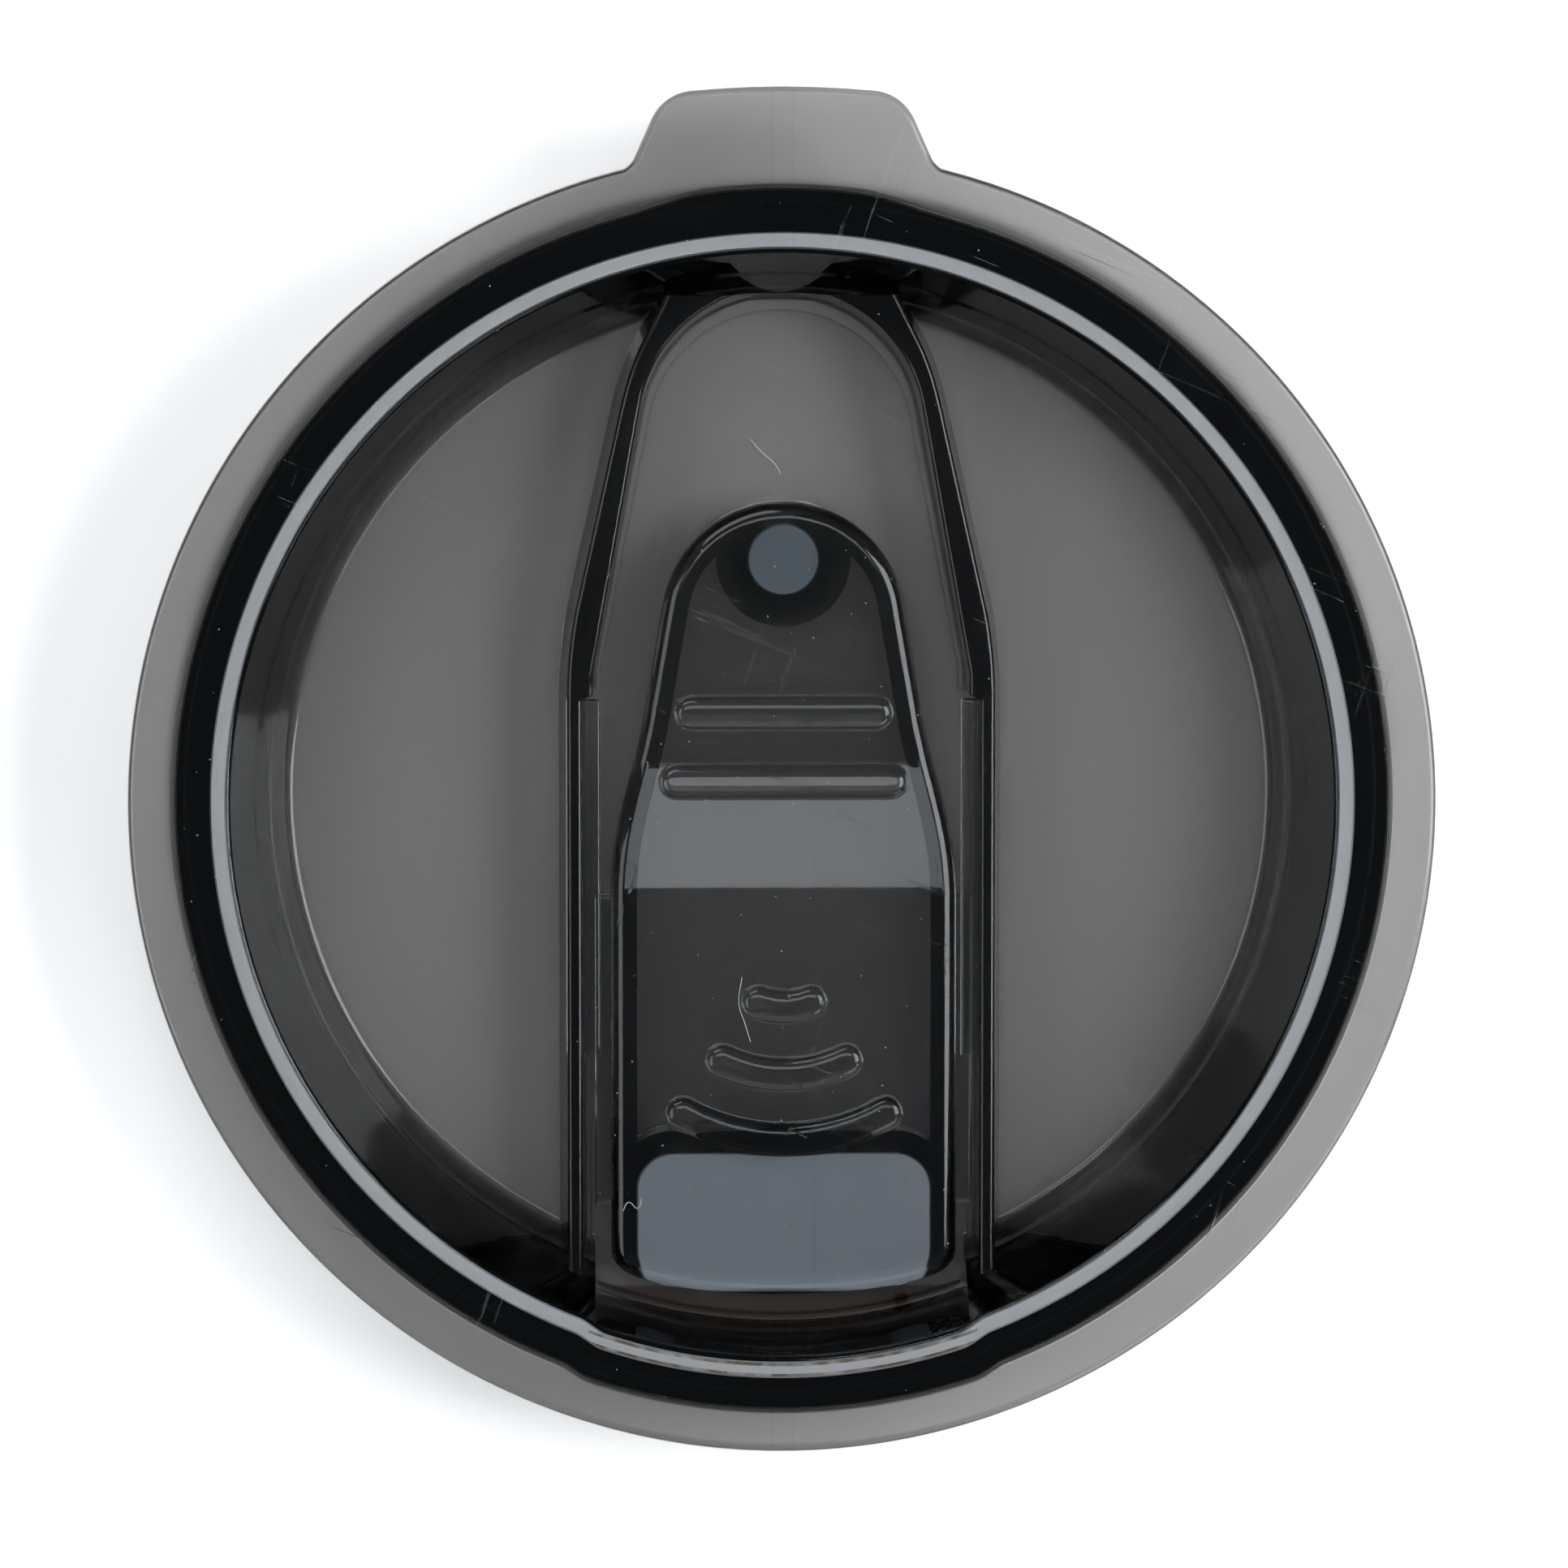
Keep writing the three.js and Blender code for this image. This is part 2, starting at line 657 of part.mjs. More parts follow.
function ventSeal() {
  const disc = new THREE.Shape().absarc(0, ventY, ventSealRadius, 0, 2 * Math.PI);
  const top = sliderLowTop - plateThickness - sealClearance;
  return prism(disc, floorTop + sealLift, top).translate([sliderOffsetX, 0, 0]);
}

const lid = new THREE.Group();
lid.add(meshFrom(lidBody(), 'lid_body', smokyColor, 0.08));
lid.add(meshFrom(ringSweep(gasketSection), 'rim_gasket', siliconeColor, 0.5));
lid.add(meshFrom(slider(), 'slider', sliderColor, 0.08));
lid.add(meshFrom(mouthSeal(), 'mouth_seal', siliconeColor, 0.5));
lid.add(meshFrom(ventSeal(), 'vent_seal', siliconeColor, 0.5));

export default lid;
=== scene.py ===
# %% [markdown]
# # A smoky tumbler lid, seen from above
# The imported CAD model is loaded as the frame. Every piece that shows is rebuilt here at the same
# size and place with finer curves, because clear plastic shows each facet of a coarse mesh.

# %% Load the frame
import math

import bpy
from mathutils import Matrix, Vector


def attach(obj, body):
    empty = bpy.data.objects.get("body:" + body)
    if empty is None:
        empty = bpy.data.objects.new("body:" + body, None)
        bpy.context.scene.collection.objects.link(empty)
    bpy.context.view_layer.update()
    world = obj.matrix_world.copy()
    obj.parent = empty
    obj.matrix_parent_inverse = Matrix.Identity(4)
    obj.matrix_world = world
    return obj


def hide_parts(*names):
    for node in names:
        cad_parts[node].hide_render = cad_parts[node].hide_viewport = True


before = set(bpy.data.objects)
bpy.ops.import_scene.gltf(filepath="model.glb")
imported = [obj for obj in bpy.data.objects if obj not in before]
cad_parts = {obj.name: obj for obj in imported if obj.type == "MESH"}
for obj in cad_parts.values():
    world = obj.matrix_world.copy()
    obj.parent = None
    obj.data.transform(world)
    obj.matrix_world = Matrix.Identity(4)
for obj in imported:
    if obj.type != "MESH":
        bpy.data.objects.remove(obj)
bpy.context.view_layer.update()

scene = bpy.context.scene
MM = 0.001
print("frame nodes:", sorted(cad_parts))

# %% [markdown]
# ## Sizes
# These are the sizes of the real lid in millimetres, with the mouth at -Y and the tab at +Y. They
# follow the CAD model, so each rebuilt piece lies where its CAD piece does. Only the plastic over
# the gasket, SLOT_SKIN, is thinner, because the ring is that pale in the photo. Heights are
# measured from the face that the lid lies on. JOG is how far the ring steps out at the mouth, and
# SWELL is how much thicker its skirt is under the tab.

# %% Sizes of the ring and tab
FLANGE_R = 44.5
LID_H = 12.0
FLANGE_T = 2.2
EDGE_R = 0.45
FLOOR_T = 1.5
LIP_R = 37.5
LIP_ROUND = 0.4
LEDGE_R = 36.1
LEDGE_Z = 7.5
LEDGE_W = 0.22
FOOT_R = 34.1
FOOT_FILLET = 0.7
SLOT_IN = 37.85
SLOT_OUT = 38.95
SLOT_SKIN = 0.3
SKIRT_R = 41.2
SKIRT_Z = 3.0
SKIRT_TAPER = 0.35
SKIRT_FILLET = 0.5
LEAD_IN = 0.5
LEAD_IN_Z = 1.0
JOG = 0.45
JOG_HALF = 13.3
JOG_BLEND = 1.1
SWELL = 0.5
SWELL_HALF = 7.5
SWELL_BLEND = 3.0
TAB_REACH = 48.75
TAB_CROWN = 0.25
TAB_TOP_HALF = 5.6
TAB_CORNER_HALF = 9.1
TAB_CORNER_DROP = 2.7
TAB_SIDE_HALF = 10.1
TAB_SIDE_RISE = 1.2
TAB_ROOT_HALF = 12.9
TAB_PULL = 0.9
TAB_SINK = 2.0

FLANGE_Z = LID_H - FLANGE_T
SLOT_Z = LID_H - SLOT_SKIN
print("flange from", FLANGE_Z, "to", LID_H, "mm, gasket slot up to", SLOT_Z, "mm")

# %% [markdown]
# The channel's sizes come next, with the two openings in its floor. The channel narrows towards
# the far end, where the slider is pushed to.

# %% Sizes of the channel
CHANNEL_HALF = 13.5
CHANNEL_NARROW = 0.75
CHANNEL_BEND_Y = 8.5
CHANNEL_END_R = 9.6
CHANNEL_END_Y = 24.65
CHANNEL_SLOPE = 0.6
CHANNEL_DRAFT = 0.15
STEP_H = 0.25
STEP_W = 0.5
STEP_END_W = 1.1
STEP_ROUND = 0.15
STEP_ROUND_H = 0.12
MOUTH_HALF = 12.8
MOUTH_R = 36.8
MOUTH_FILLET = 0.35
MOUTH_MARGIN = 0.1
RAIL_T = 1.2
RAIL_DRAFT = 0.7
RAIL_TOP = 7.0
RAIL_ROUND = 0.35
RAIL_INNER_ROUND = 0.3
RAIL_BEND_REACH = 3.0
RAIL_BEND_IN = 0.55
RAIL_CORNER = (10.6, 28.85)
RAIL_CORNER_ROUND = ((0.6, -3.0), (-0.9, 2.0))
RAIL_WALL = (7.9, 34.45)
GUIDE_GAP_HALF = 12.4
GUIDE_DROP = 0.7
GUIDE_T = 1.1
GUIDE_ROUND = 0.2
GUIDE_FROM = -17.9
GUIDE_TO = 6.7
MOUTH_W = 16.6
MOUTH_L = 6.0
MOUTH_CORNER = 2.0
MOUTH_Y = -29.4
VENT_R = 1.3
VENT_Y = 16.2
print("channel", 2 * CHANNEL_HALF, "mm wide, rails", RAIL_TOP, "mm high")

# %% [markdown]
# The slider, its grips and the soft pieces have their own sizes. Each gap between pieces is a
# named value, so that a piece and its pocket are made from the same numbers.

# %% Sizes of the slider and seals
SLIDE_GAP = 0.3
SLIDER_X = 0.2
SLIDER_HALF = 11.9
SLIDER_FRONT = -34.6
SLIDER_CROWN = 1.1
SLIDER_CORNER = 2.2
SHOULDER_FROM = -7.2
SHOULDER_TO = 5.0
SHOULDER_HALF = 9.7
SHOULDER_PULL = (5.0, 4.5)
SHOULDER_BULGE = 0.9
TIP_R = 8.4
TIP_Y = 11.8
SLIDER_TOP = 6.5
SLIDER_LOW = 5.3
RAMP_FROM = -6.8
RAMP_TO = 2.4
RAMP_EASE = 0.6
RAMP_SOFT = 0.3
SLIDER_EDGE = 1.1
PLATE_T = 1.0
WALL_T = 1.8
WING_HALF = 13.0
WING_T = 1.1
WING_FROM = -28.4
WING_TO = -6.9
WING_ROUND = 0.25
SEAL_GAP = 0.1
SEAL_LIFT = 0.3
PAD_W = 20.2
PAD_L = 9.3
PAD_CORNER = 2.5
PAD_ROUNDS = (0.4, 0.15)
POCKET_WALL = 1.6
DISC_R = 2.4
DISC_ROUNDS = (0.3, 0.1)
BOSS_R = 4.6
FOOT_T = 1.2
SEAL_LIP = 0.8
SEAL_RISE = 0.6
FOOT_EDGE = 0.1
print("slider", 2 * SLIDER_HALF, "mm wide,", round(TIP_Y + TIP_R - SLIDER_FRONT, 1), "mm long")

# %% [markdown]
# ## Helpers for outlines
# Outlines are lists of points, drawn from arcs and curves. Each is given in millimetres and runs
# counter-clockwise.

# %% Helpers for outlines
def quarter(steps):
    """Angles from 0 to a right angle, for a rounded edge."""
    return [math.pi / 2 * i / steps for i in range(steps + 1)]


def arc(cx, cy, radius, start, end, count):
    """Points on an arc between two angles in degrees."""
    angles = [math.radians(start + (end - start) * i / count) for i in range(count + 1)]
    return [(cx + radius * math.cos(a), cy + radius * math.sin(a)) for a in angles]


def mirrored(points):
    """The other half of an outline that is the same on both sides."""
    return [(-x, y) for x, y in reversed(points)]


def quadratic(p0, p1, p2, count):
    """Points on a curve with one pulling point, without its start."""
    points = []
    for i in range(1, count + 1):
        t = i / count
        points.append(tuple(
            (1 - t) ** 2 * a + 2 * t * (1 - t) * b + t * t * c
            for a, b, c in zip(p0, p1, p2)
        ))
    return points


def cubic(p0, p1, p2, p3, count):
    """Points on a curve with two pulling points, without its start."""
    points = []
    for i in range(1, count + 1):
        t = i / count
        u = 1 - t
        points.append(tuple(
            u ** 3 * a + 3 * u * u * t * b + 3 * u * t * t * c + t ** 3 * d
            for a, b, c, d in zip(p0, p1, p2, p3)
        ))
    return points


def subdivide(points, spacing=1.0):
    """Adds points on the long edges of a closed outline, so that its faces stay even."""
    result = []
    for start, end in zip(points, points[1:] + points[:1]):
        a, b = Vector(start), Vector(end)
        pieces = max(1, round((b - a).length / spacing))
        result += [tuple(a.lerp(b, k / pieces)) for k in range(pieces)]
    return result


def inset(outline, distance):
    """The outline moved inwards."""
    count = len(outline)
    moved = []
    for i in range(count):
        before = Vector(outline[i]) - Vector(outline[i - 1])
        after = Vector(outline[(i + 1) % count]) - Vector(outline[i])
        along = (before.normalized() + after.normalized()).normalized()
        bend = max(0.5, along.dot(after.normalized()))
        x, y = outline[i]
        moved.append((x - along.y * distance / bend, y + along.x * distance / bend))
    return moved


print("a quarter turn in 6 steps:", [round(math.degrees(angle)) for angle in quarter(6)])

# %% [markdown]
# ## Helpers for closed shapes
# Each shape is a stack of rings with equal counts of points, closed by a face at each end. Clear
# plastic needs closed shapes, or light is lost in them. Rounded edges come from rings that move
# inwards as they rise.

# %% Helpers for closed shapes
def added(name, data):
    """A new object in the scene that holds a mesh, lamp, camera or curve."""
    obj = bpy.data.objects.new(name, data)
    scene.collection.objects.link(obj)
    return obj


def new_mesh(name, verts, faces):
    mesh = bpy.data.meshes.new(name)
    mesh.from_pydata(verts, [], faces)
    return added(name, mesh)


def worked(obj):
    """A plain copy of the mesh that the object's modifiers make."""
    return bpy.data.meshes.new_from_object(obj.evaluated_get(bpy.context.evaluated_depsgraph_get()))


def stack(name, rings, rungs=False):
    """A closed mesh object from rings of (x, y, z) in millimetres, lowest first.

    With rungs, the ends are closed by strips between mirrored points, so that a ramp stays flat.
    """
    count = len(rings[0])
    verts = [tuple(value * MM for value in point) for ring in rings for point in ring]
    faces = []
    for level in range(len(rings) - 1):
        for i in range(count):
            a, b = level * count + i, level * count + (i + 1) % count
            faces.append((a, b, b + count, a + count))
    top = (len(rings) - 1) * count
    if rungs:
        for i in range(count // 2):
            strip = [i, i + 1, count - i - 1, (count - i) % count]
            strip = list(dict.fromkeys(strip))
            faces.append(tuple(strip[::-1]))
            faces.append(tuple(top + index for index in strip))
    else:
        faces.append(tuple(range(count - 1, -1, -1)))
        faces.append(tuple(range(top, top + count)))
    return new_mesh(name, verts, faces)


def flat(outline, z):
    """A ring at one height."""
    return [(x, y, z) for x, y in outline]


def block(name, outline, bottom, top, low_round=0.0, top_round=0.0, steps=5):
    """A slab whose lower and upper edges may be rounded."""
    rings = []
    for angle in quarter(steps) if low_round else [math.pi / 2]:
        inwards, up = low_round * (1 - math.sin(angle)), low_round * (1 - math.cos(angle))
        rings.append(flat(inset(outline, inwards), bottom + up))
    for angle in quarter(steps) if top_round else [0]:
        inwards, down = top_round * (1 - math.cos(angle)), top_round * (1 - math.sin(angle))
        rings.append(flat(inset(outline, inwards), top - down))
    return stack(name, rings)


def combine(base, others, operation):
    """Joins or cuts closed shapes and removes the shapes that it used."""
    for other in others:
        cut = base.modifiers.new("cut", "BOOLEAN")
        cut.operation = operation
        cut.solver = "MANIFOLD"
        cut.object = other
    done = worked(base)
    base.modifiers.clear()
    base.data = done
    for other in others:
        bpy.data.objects.remove(other)
    return base


def smooth(obj, angle=32):
    """Smooth shading, but for edges sharper than the angle."""
    for face in obj.data.polygons:
        face.use_smooth = True
    obj.data.set_sharp_from_angle(angle=math.radians(angle))
    weighted = obj.modifiers.new("weighted", "WEIGHTED_NORMAL")
    weighted.keep_sharp = True
    done = worked(obj)
    obj.modifiers.clear()
    obj.data = done
    return obj


def report(obj):
    """Prints what a finished piece measures."""
    triangles = sum(len(face.vertices) - 2 for face in obj.data.polygons)
    size = [round(value / MM, 2) for value in obj.dimensions]
    print(obj.name, "triangles", triangles, "size in mm", size)


# %% [markdown]
# ## The lid's ring
# One section holds the flange, lip, bowl wall, gasket slot and skirt. It is swept round the axis,
# and its points move out a little at the mouth and under the tab, as the real ring swells there.

# %% The lid's ring
# Shapes that are joined or cut reach this far into each other.
JOIN = 1.0
ROUND_STEPS = 6
LIP_ARC_END = 160
FOOT_ARC_FROM = -18
RING_TURNS = 720


def step(low, high, value):
    """Rises softly from 0 to 1 between two values."""
    t = min(max((value - low) / (high - low), 0), 1)
    return t * t * (3 - 2 * t)


def swell(azimuth):
    """How far the ring steps out at the mouth, and how much thicker it is under the tab."""
    across = abs(SLOT_OUT * math.cos(azimuth))
    at_mouth = math.sin(azimuth) < 0
    jog = JOG * (1 - step(JOG_HALF - JOG_BLEND, JOG_HALF + JOG_BLEND, across))
    tab = SWELL * (1 - step(SWELL_HALF - SWELL_BLEND, SWELL_HALF + SWELL_BLEND, across))
    return (jog, 0) if at_mouth else (0, tab)


def ring_section(azimuth):
    """Radius and height round the section, from the foot outwards and back over the lip."""
    out, thick = swell(azimuth)
    skirt = SKIRT_R + out + thick
    edge = FLANGE_R - EDGE_R
    steps = ROUND_STEPS
    return (
        [(FOOT_R - FOOT_FILLET - JOIN, 0), (SLOT_IN - LEAD_IN, 0), (SLOT_IN + out, LEAD_IN_Z)]
        + [(SLOT_IN + out, SLOT_Z), (SLOT_OUT + out, SLOT_Z)]
        + [(SLOT_OUT + out + SKIRT_TAPER, SKIRT_Z), (SKIRT_R + out - SKIRT_TAPER, SKIRT_Z)]
        + arc(skirt + SKIRT_FILLET, FLANGE_Z - SKIRT_FILLET, SKIRT_FILLET, 180, 90, steps)
        + arc(edge, FLANGE_Z + EDGE_R, EDGE_R, -90, 0, steps)
        + arc(edge, LID_H - EDGE_R, EDGE_R, 0, 90, steps)
        + arc(LIP_R + LIP_ROUND + out, LID_H - LIP_ROUND, LIP_ROUND, 90, LIP_ARC_END, steps)
        + [(LEDGE_R, LEDGE_Z), (LEDGE_R - LEDGE_W, LEDGE_Z - LEDGE_W)]
        + arc(FOOT_R - FOOT_FILLET, FLOOR_T + FOOT_FILLET, FOOT_FILLET, FOOT_ARC_FROM, -90, steps)
    )


def sweep(name, section_at, turns=RING_TURNS):
    """A closed ring from a section that may change with the azimuth."""
    sections = [section_at(2 * math.pi * i / turns) for i in range(turns)]
    count = len(sections[0])
    verts = []
    for i, section in enumerate(sections):
        angle = 2 * math.pi * i / turns
        verts += [(r * math.cos(angle) * MM, r * math.sin(angle) * MM, z * MM) for r, z in section]
    faces = []
    for i in range(turns):
        here, there = i * count, (i + 1) % turns * count
        for k in range(count):
            n = (k + 1) % count
            faces.append((here + k, there + k, there + n, here + n))
    return new_mesh(name, verts, faces)


def circle_outline(x, y, radius, count=96):
    return arc(x, y, radius, 0, 360 - 360 / count, count - 1)


def disc(name, radius, bottom, top, x=0.0, y=0.0, count=96):
    outline = circle_outline(x, y, radius, count)
    return stack(name, [flat(outline, z) for z in (bottom, top)])


def tab_outline():
    """The thumb tab, with its root sunk into the flange."""
    root = math.sqrt(FLANGE_R ** 2 - TAB_ROOT_HALF ** 2)
    side = (TAB_SIDE_HALF, root + TAB_SIDE_RISE)
    corner = (TAB_CORNER_HALF, TAB_REACH - TAB_CORNER_DROP)
    crown = TAB_REACH - TAB_CROWN
    right = [(TAB_ROOT_HALF, root - TAB_SINK), (TAB_ROOT_HALF, root)]
    right += quadratic(right[-1], (TAB_SIDE_HALF + TAB_PULL, root), side, 12)
    right += [corner]
    right += quadratic(corner, (TAB_CORNER_HALF - TAB_PULL, crown), (TAB_TOP_HALF, crown), 12)
    right += quadratic(right[-1], (TAB_TOP_HALF / 2, TAB_REACH), (0, TAB_REACH), 8)
    return subdivide(right + mirrored(right[:-1]), spacing=0.6)


ring = sweep("lid_shell", ring_section)
floor_disc = disc("floor_disc", FOOT_R - FOOT_FILLET, 0, FLOOR_T, count=RING_TURNS)
tab = block("tab", tab_outline(), FLANGE_Z, LID_H, EDGE_R, EDGE_R)
report(ring)

# %% [markdown]
# ## The channel for the slider
# Two rails stand on the floor and meet round the far end. Their top edges are rounded by rings
# that flare, so that they catch the thin lines of light that the photo shows.

# %% The channel for the slider
CHANNEL_ARC_FROM = 10
# The rounding ends this much above the rails, so that no two faces lie in one plane.
THIN_STEP = 0.001


def channel_outline(spread=0.0, shift=0.0):
    """The channel's walls; spread moves them all out, and shift moves the far end along."""
    half = CHANNEL_HALF + spread
    narrow = half - CHANNEL_NARROW
    right = [(half, -FOOT_R), (half, GUIDE_TO)]
    right += [(narrow, GUIDE_TO + CHANNEL_NARROW / 2), (narrow, CHANNEL_BEND_Y)]
    centre, radius = CHANNEL_END_Y + shift, CHANNEL_END_R + spread
    end = arc(0, centre, radius, CHANNEL_ARC_FROM, 180 - CHANNEL_ARC_FROM, 60)
    return right + end + mirrored(right)


def rail_outline(spread):
    """Outer edge of the rails, with rounded corners."""
    outer = CHANNEL_HALF + RAIL_T + spread
    corner = (RAIL_CORNER[0] + spread, RAIL_CORNER[1])
    wall = (RAIL_WALL[0] + spread, RAIL_WALL[1])
    bend = (outer, CHANNEL_BEND_Y + RAIL_T)
    right = [(outer, JOIN - FOOT_R), (outer, bend[1] - RAIL_BEND_REACH)]
    right += quadratic(right[-1], bend, (outer - RAIL_BEND_IN, bend[1] + RAIL_BEND_REACH), 8)
    before, after = [(corner[0] + dx, corner[1] + dy) for dx, dy in RAIL_CORNER_ROUND]
    right += quadratic(before, corner, after, 8) + [wall]
    return right + mirrored(right)


def rail_rings():
    """The rails' outer shape, with rounded top edges."""
    rings = [flat(rail_outline(RAIL_DRAFT), 0)]
    for angle in quarter(ROUND_STEPS):
        inwards, down = RAIL_ROUND * (1 - math.cos(angle)), RAIL_ROUND * (1 - math.sin(angle))
        rings.append(flat(rail_outline(-inwards), RAIL_TOP - down))
    return rings


def space_rings():
    """The space between the rails: a rounded border on the floor, then walls that flare."""
    border_shift = STEP_W - STEP_END_W
    border = channel_outline(-STEP_W, border_shift)
    border_round = channel_outline(-STEP_W + STEP_ROUND, border_shift)
    step_z = FLOOR_T + STEP_H
    rings = [flat(border, FLOOR_T), flat(border, step_z - STEP_ROUND_H), flat(border_round, step_z)]
    rings += [flat(channel_outline(-STEP_ROUND), step_z), flat(channel_outline(0), step_z + STEP_ROUND)]
    for angle in quarter(ROUND_STEPS):
        outwards = RAIL_INNER_ROUND * (1 - math.cos(angle))
        down = RAIL_INNER_ROUND * (1 - math.sin(angle)) - THIN_STEP
        rings.append(flat(channel_outline(CHANNEL_DRAFT + outwards, CHANNEL_SLOPE), RAIL_TOP - down))
    widest = channel_outline(CHANNEL_DRAFT + RAIL_INNER_ROUND, CHANNEL_SLOPE)
    return rings + [flat(widest, RAIL_TOP + JOIN)]


rails = combine(stack("rails", rail_rings()), [stack("space", space_rings())], "DIFFERENCE")
report(rails)

# %% [markdown]
# ## Joining and cutting the lid
# The lid is one moulding, so its parts are joined to one closed mesh with no faces inside. Then
# the mouth, the vent and the space at the mouth end are cut out.

# %% Joining and cutting the lid
def rounded_rectangle(width, length, corner, x, y, count=10):
    """Outline round a middle at x and y."""
    hw, hl = width / 2 - corner, length / 2 - corner
    points = []
    for k, (sx, sy) in enumerate([(1, -1), (1, 1), (-1, 1), (-1, -1)]):
        points += arc(x + sx * hw, y + sy * hl, corner, -90 + 90 * k, 90 * k, count)
    return points


def mouth_end():
    """Space between the rails at the mouth, where the bowl's wall is cut back."""
    top_r = LIP_R + JOG - MOUTH_MARGIN
    profile = [(MOUTH_R - MOUTH_FILLET, FLOOR_T), (MOUTH_R, FLOOR_T + MOUTH_FILLET)]
    profile += [(top_r, LID_H - LIP_ROUND), (top_r, LID_H + JOIN)]
    rings = []
    for radius, z in profile:
        half = math.degrees(math.asin(MOUTH_HALF / radius))
        front = arc(0, 0, radius, 270 - half, 270 + half, 60)
        rings.append(flat(front + [(MOUTH_HALF, GUIDE_FROM), (-MOUTH_HALF, GUIDE_FROM)], z))
    return stack("mouth_end", rings)


def guide(side):
    """Lip over the edge of the channel that holds the slider down."""
    near, far = GUIDE_GAP_HALF, CHANNEL_HALF + RAIL_T / 2
    outline = [(near, GUIDE_FROM), (far, GUIDE_FROM), (far, GUIDE_TO), (near, GUIDE_TO)]
    if side < 0:
        outline = mirrored(outline)
    top = RAIL_TOP - GUIDE_DROP
    return block("guide", subdivide(outline), top - GUIDE_T, top, 0, GUIDE_ROUND)


lid = combine(ring, [floor_disc, tab, rails], "UNION")
lid = combine(lid, [mouth_end()], "DIFFERENCE")
lid = combine(lid, [guide(1), guide(-1)], "UNION")
mouth_outline = rounded_rectangle(MOUTH_W, MOUTH_L, MOUTH_CORNER, 0, MOUTH_Y)
mouth_hole = block("mouth_hole", mouth_outline, -JOIN, FLOOR_T + JOIN)
vent_hole = disc("vent_hole", VENT_R, -JOIN, FLOOR_T + JOIN, 0, VENT_Y)
lid = combine(lid, [mouth_hole, vent_hole], "DIFFERENCE")
smooth(lid)
report(lid)

# %% [markdown]
# ## The slider
# A thin shell, open below, with a low tip over the vent and a ramp up to the part over the mouth.
# The rings follow one plan, and their heights follow the ramp.

# %% The slider
TIP_ARC_FROM = 10


def slider_outline():
    """The plan: a crowned front, straight sides, shoulders and a round tip."""
    side = SLIDER_FRONT + SLIDER_CROWN
    front_corner, side_corner = (SLIDER_HALF - SLIDER_CORNER, side), (SLIDER_HALF, side + SLIDER_CORNER)
    right = [(0, SLIDER_FRONT)]
    right += quadratic(right[-1], (SLIDER_HALF / 2, SLIDER_FRONT), front_corner, 14)
    right += quadratic(right[-1], (SLIDER_HALF, side + SLIDER_CORNER / 4), side_corner, 14)
    right += [(SLIDER_HALF, SHOULDER_FROM)]
    right += cubic(
        right[-1], (SLIDER_HALF, SHOULDER_FROM + SHOULDER_PULL[0]),
        (SHOULDER_HALF + SHOULDER_BULGE, SHOULDER_TO - SHOULDER_PULL[1]), (SHOULDER_HALF, SHOULDER_TO), 24,
    )
    right += arc(0, TIP_Y, TIP_R, TIP_ARC_FROM, 90, 40)
    outline = subdivide(right + mirrored(right[1:-1]), spacing=0.5)
    return [(x + SLIDER_X, y) for x, y in outline]


def slider_top(y):
    """Height of the top: two levels with a ramp that is mostly straight and eased at its ends."""
    eased = step(RAMP_FROM - RAMP_EASE, RAMP_TO + RAMP_EASE, y)
    straight = min(max((y - RAMP_FROM) / (RAMP_TO - RAMP_FROM), 0), 1)
    return SLIDER_TOP + (SLIDER_LOW - SLIDER_TOP) * (RAMP_SOFT * eased + (1 - RAMP_SOFT) * straight)


def raised(outline, lift):
    """A ring that follows the slider's top."""
    return [(x, y, slider_top(y) + lift) for x, y in outline]


plan = slider_outline()
base_z = FLOOR_T + SEAL_LIFT + SLIDE_GAP
rings = [flat(plan, base_z)]
for angle in quarter(8):
    inwards, down = SLIDER_EDGE * (1 - math.cos(angle)), SLIDER_EDGE * (1 - math.sin(angle))
    rings.append(raised(inset(plan, inwards), -down))
slider = stack("slider_shell", rings, rungs=True)
report(slider)

# %% [markdown]
# ## Inside the slider, and its side wings
# The shell is hollow from below. A frame and a boss hold the two seals, and a low wing on each
# side runs under the guide lips.

# %% Inside the slider, and its side wings
def around_pad(spread):
    """The mouth seal's outline, made larger by a wall or a gap."""
    return rounded_rectangle(PAD_W + 2 * spread, PAD_L + 2 * spread, PAD_CORNER + spread, SLIDER_X, MOUTH_Y)


def wing(side):
    """Low ledge on the slider's side that runs under the guide lip."""
    near, far = SLIDER_HALF - WALL_T / 2, WING_HALF
    outline = [(near, WING_FROM), (far, WING_FROM), (far, WING_TO), (near, WING_TO)]
    if side < 0:
        outline = mirrored(outline)
    outline = subdivide([(x + SLIDER_X, y) for x, y in outline])
    top = RAIL_TOP - GUIDE_DROP - GUIDE_T - SLIDE_GAP
    return block("wing", outline, top - WING_T, top, 0, WING_ROUND)


inner_plan = inset(plan, WALL_T)
hollow = stack("hollow", [flat(inner_plan, base_z - JOIN), raised(inner_plan, -PLATE_T)], rungs=True)
combine(slider, [hollow], "DIFFERENCE")

frame_block = block("pocket_frame", around_pad(POCKET_WALL), base_z, SLIDER_TOP - PLATE_T / 2)
boss = disc("boss", BOSS_R, base_z, SLIDER_LOW - PLATE_T / 2, SLIDER_X, VENT_Y)
for held in (frame_block, boss):
    core = inset(plan, SLIDER_EDGE)
    inside = stack("inside", [flat(core, base_z), raised(core, -PLATE_T / 2)], rungs=True)
    combine(held, [inside], "INTERSECT")
combine(slider, [frame_block, boss, wing(-1), wing(1)], "UNION")

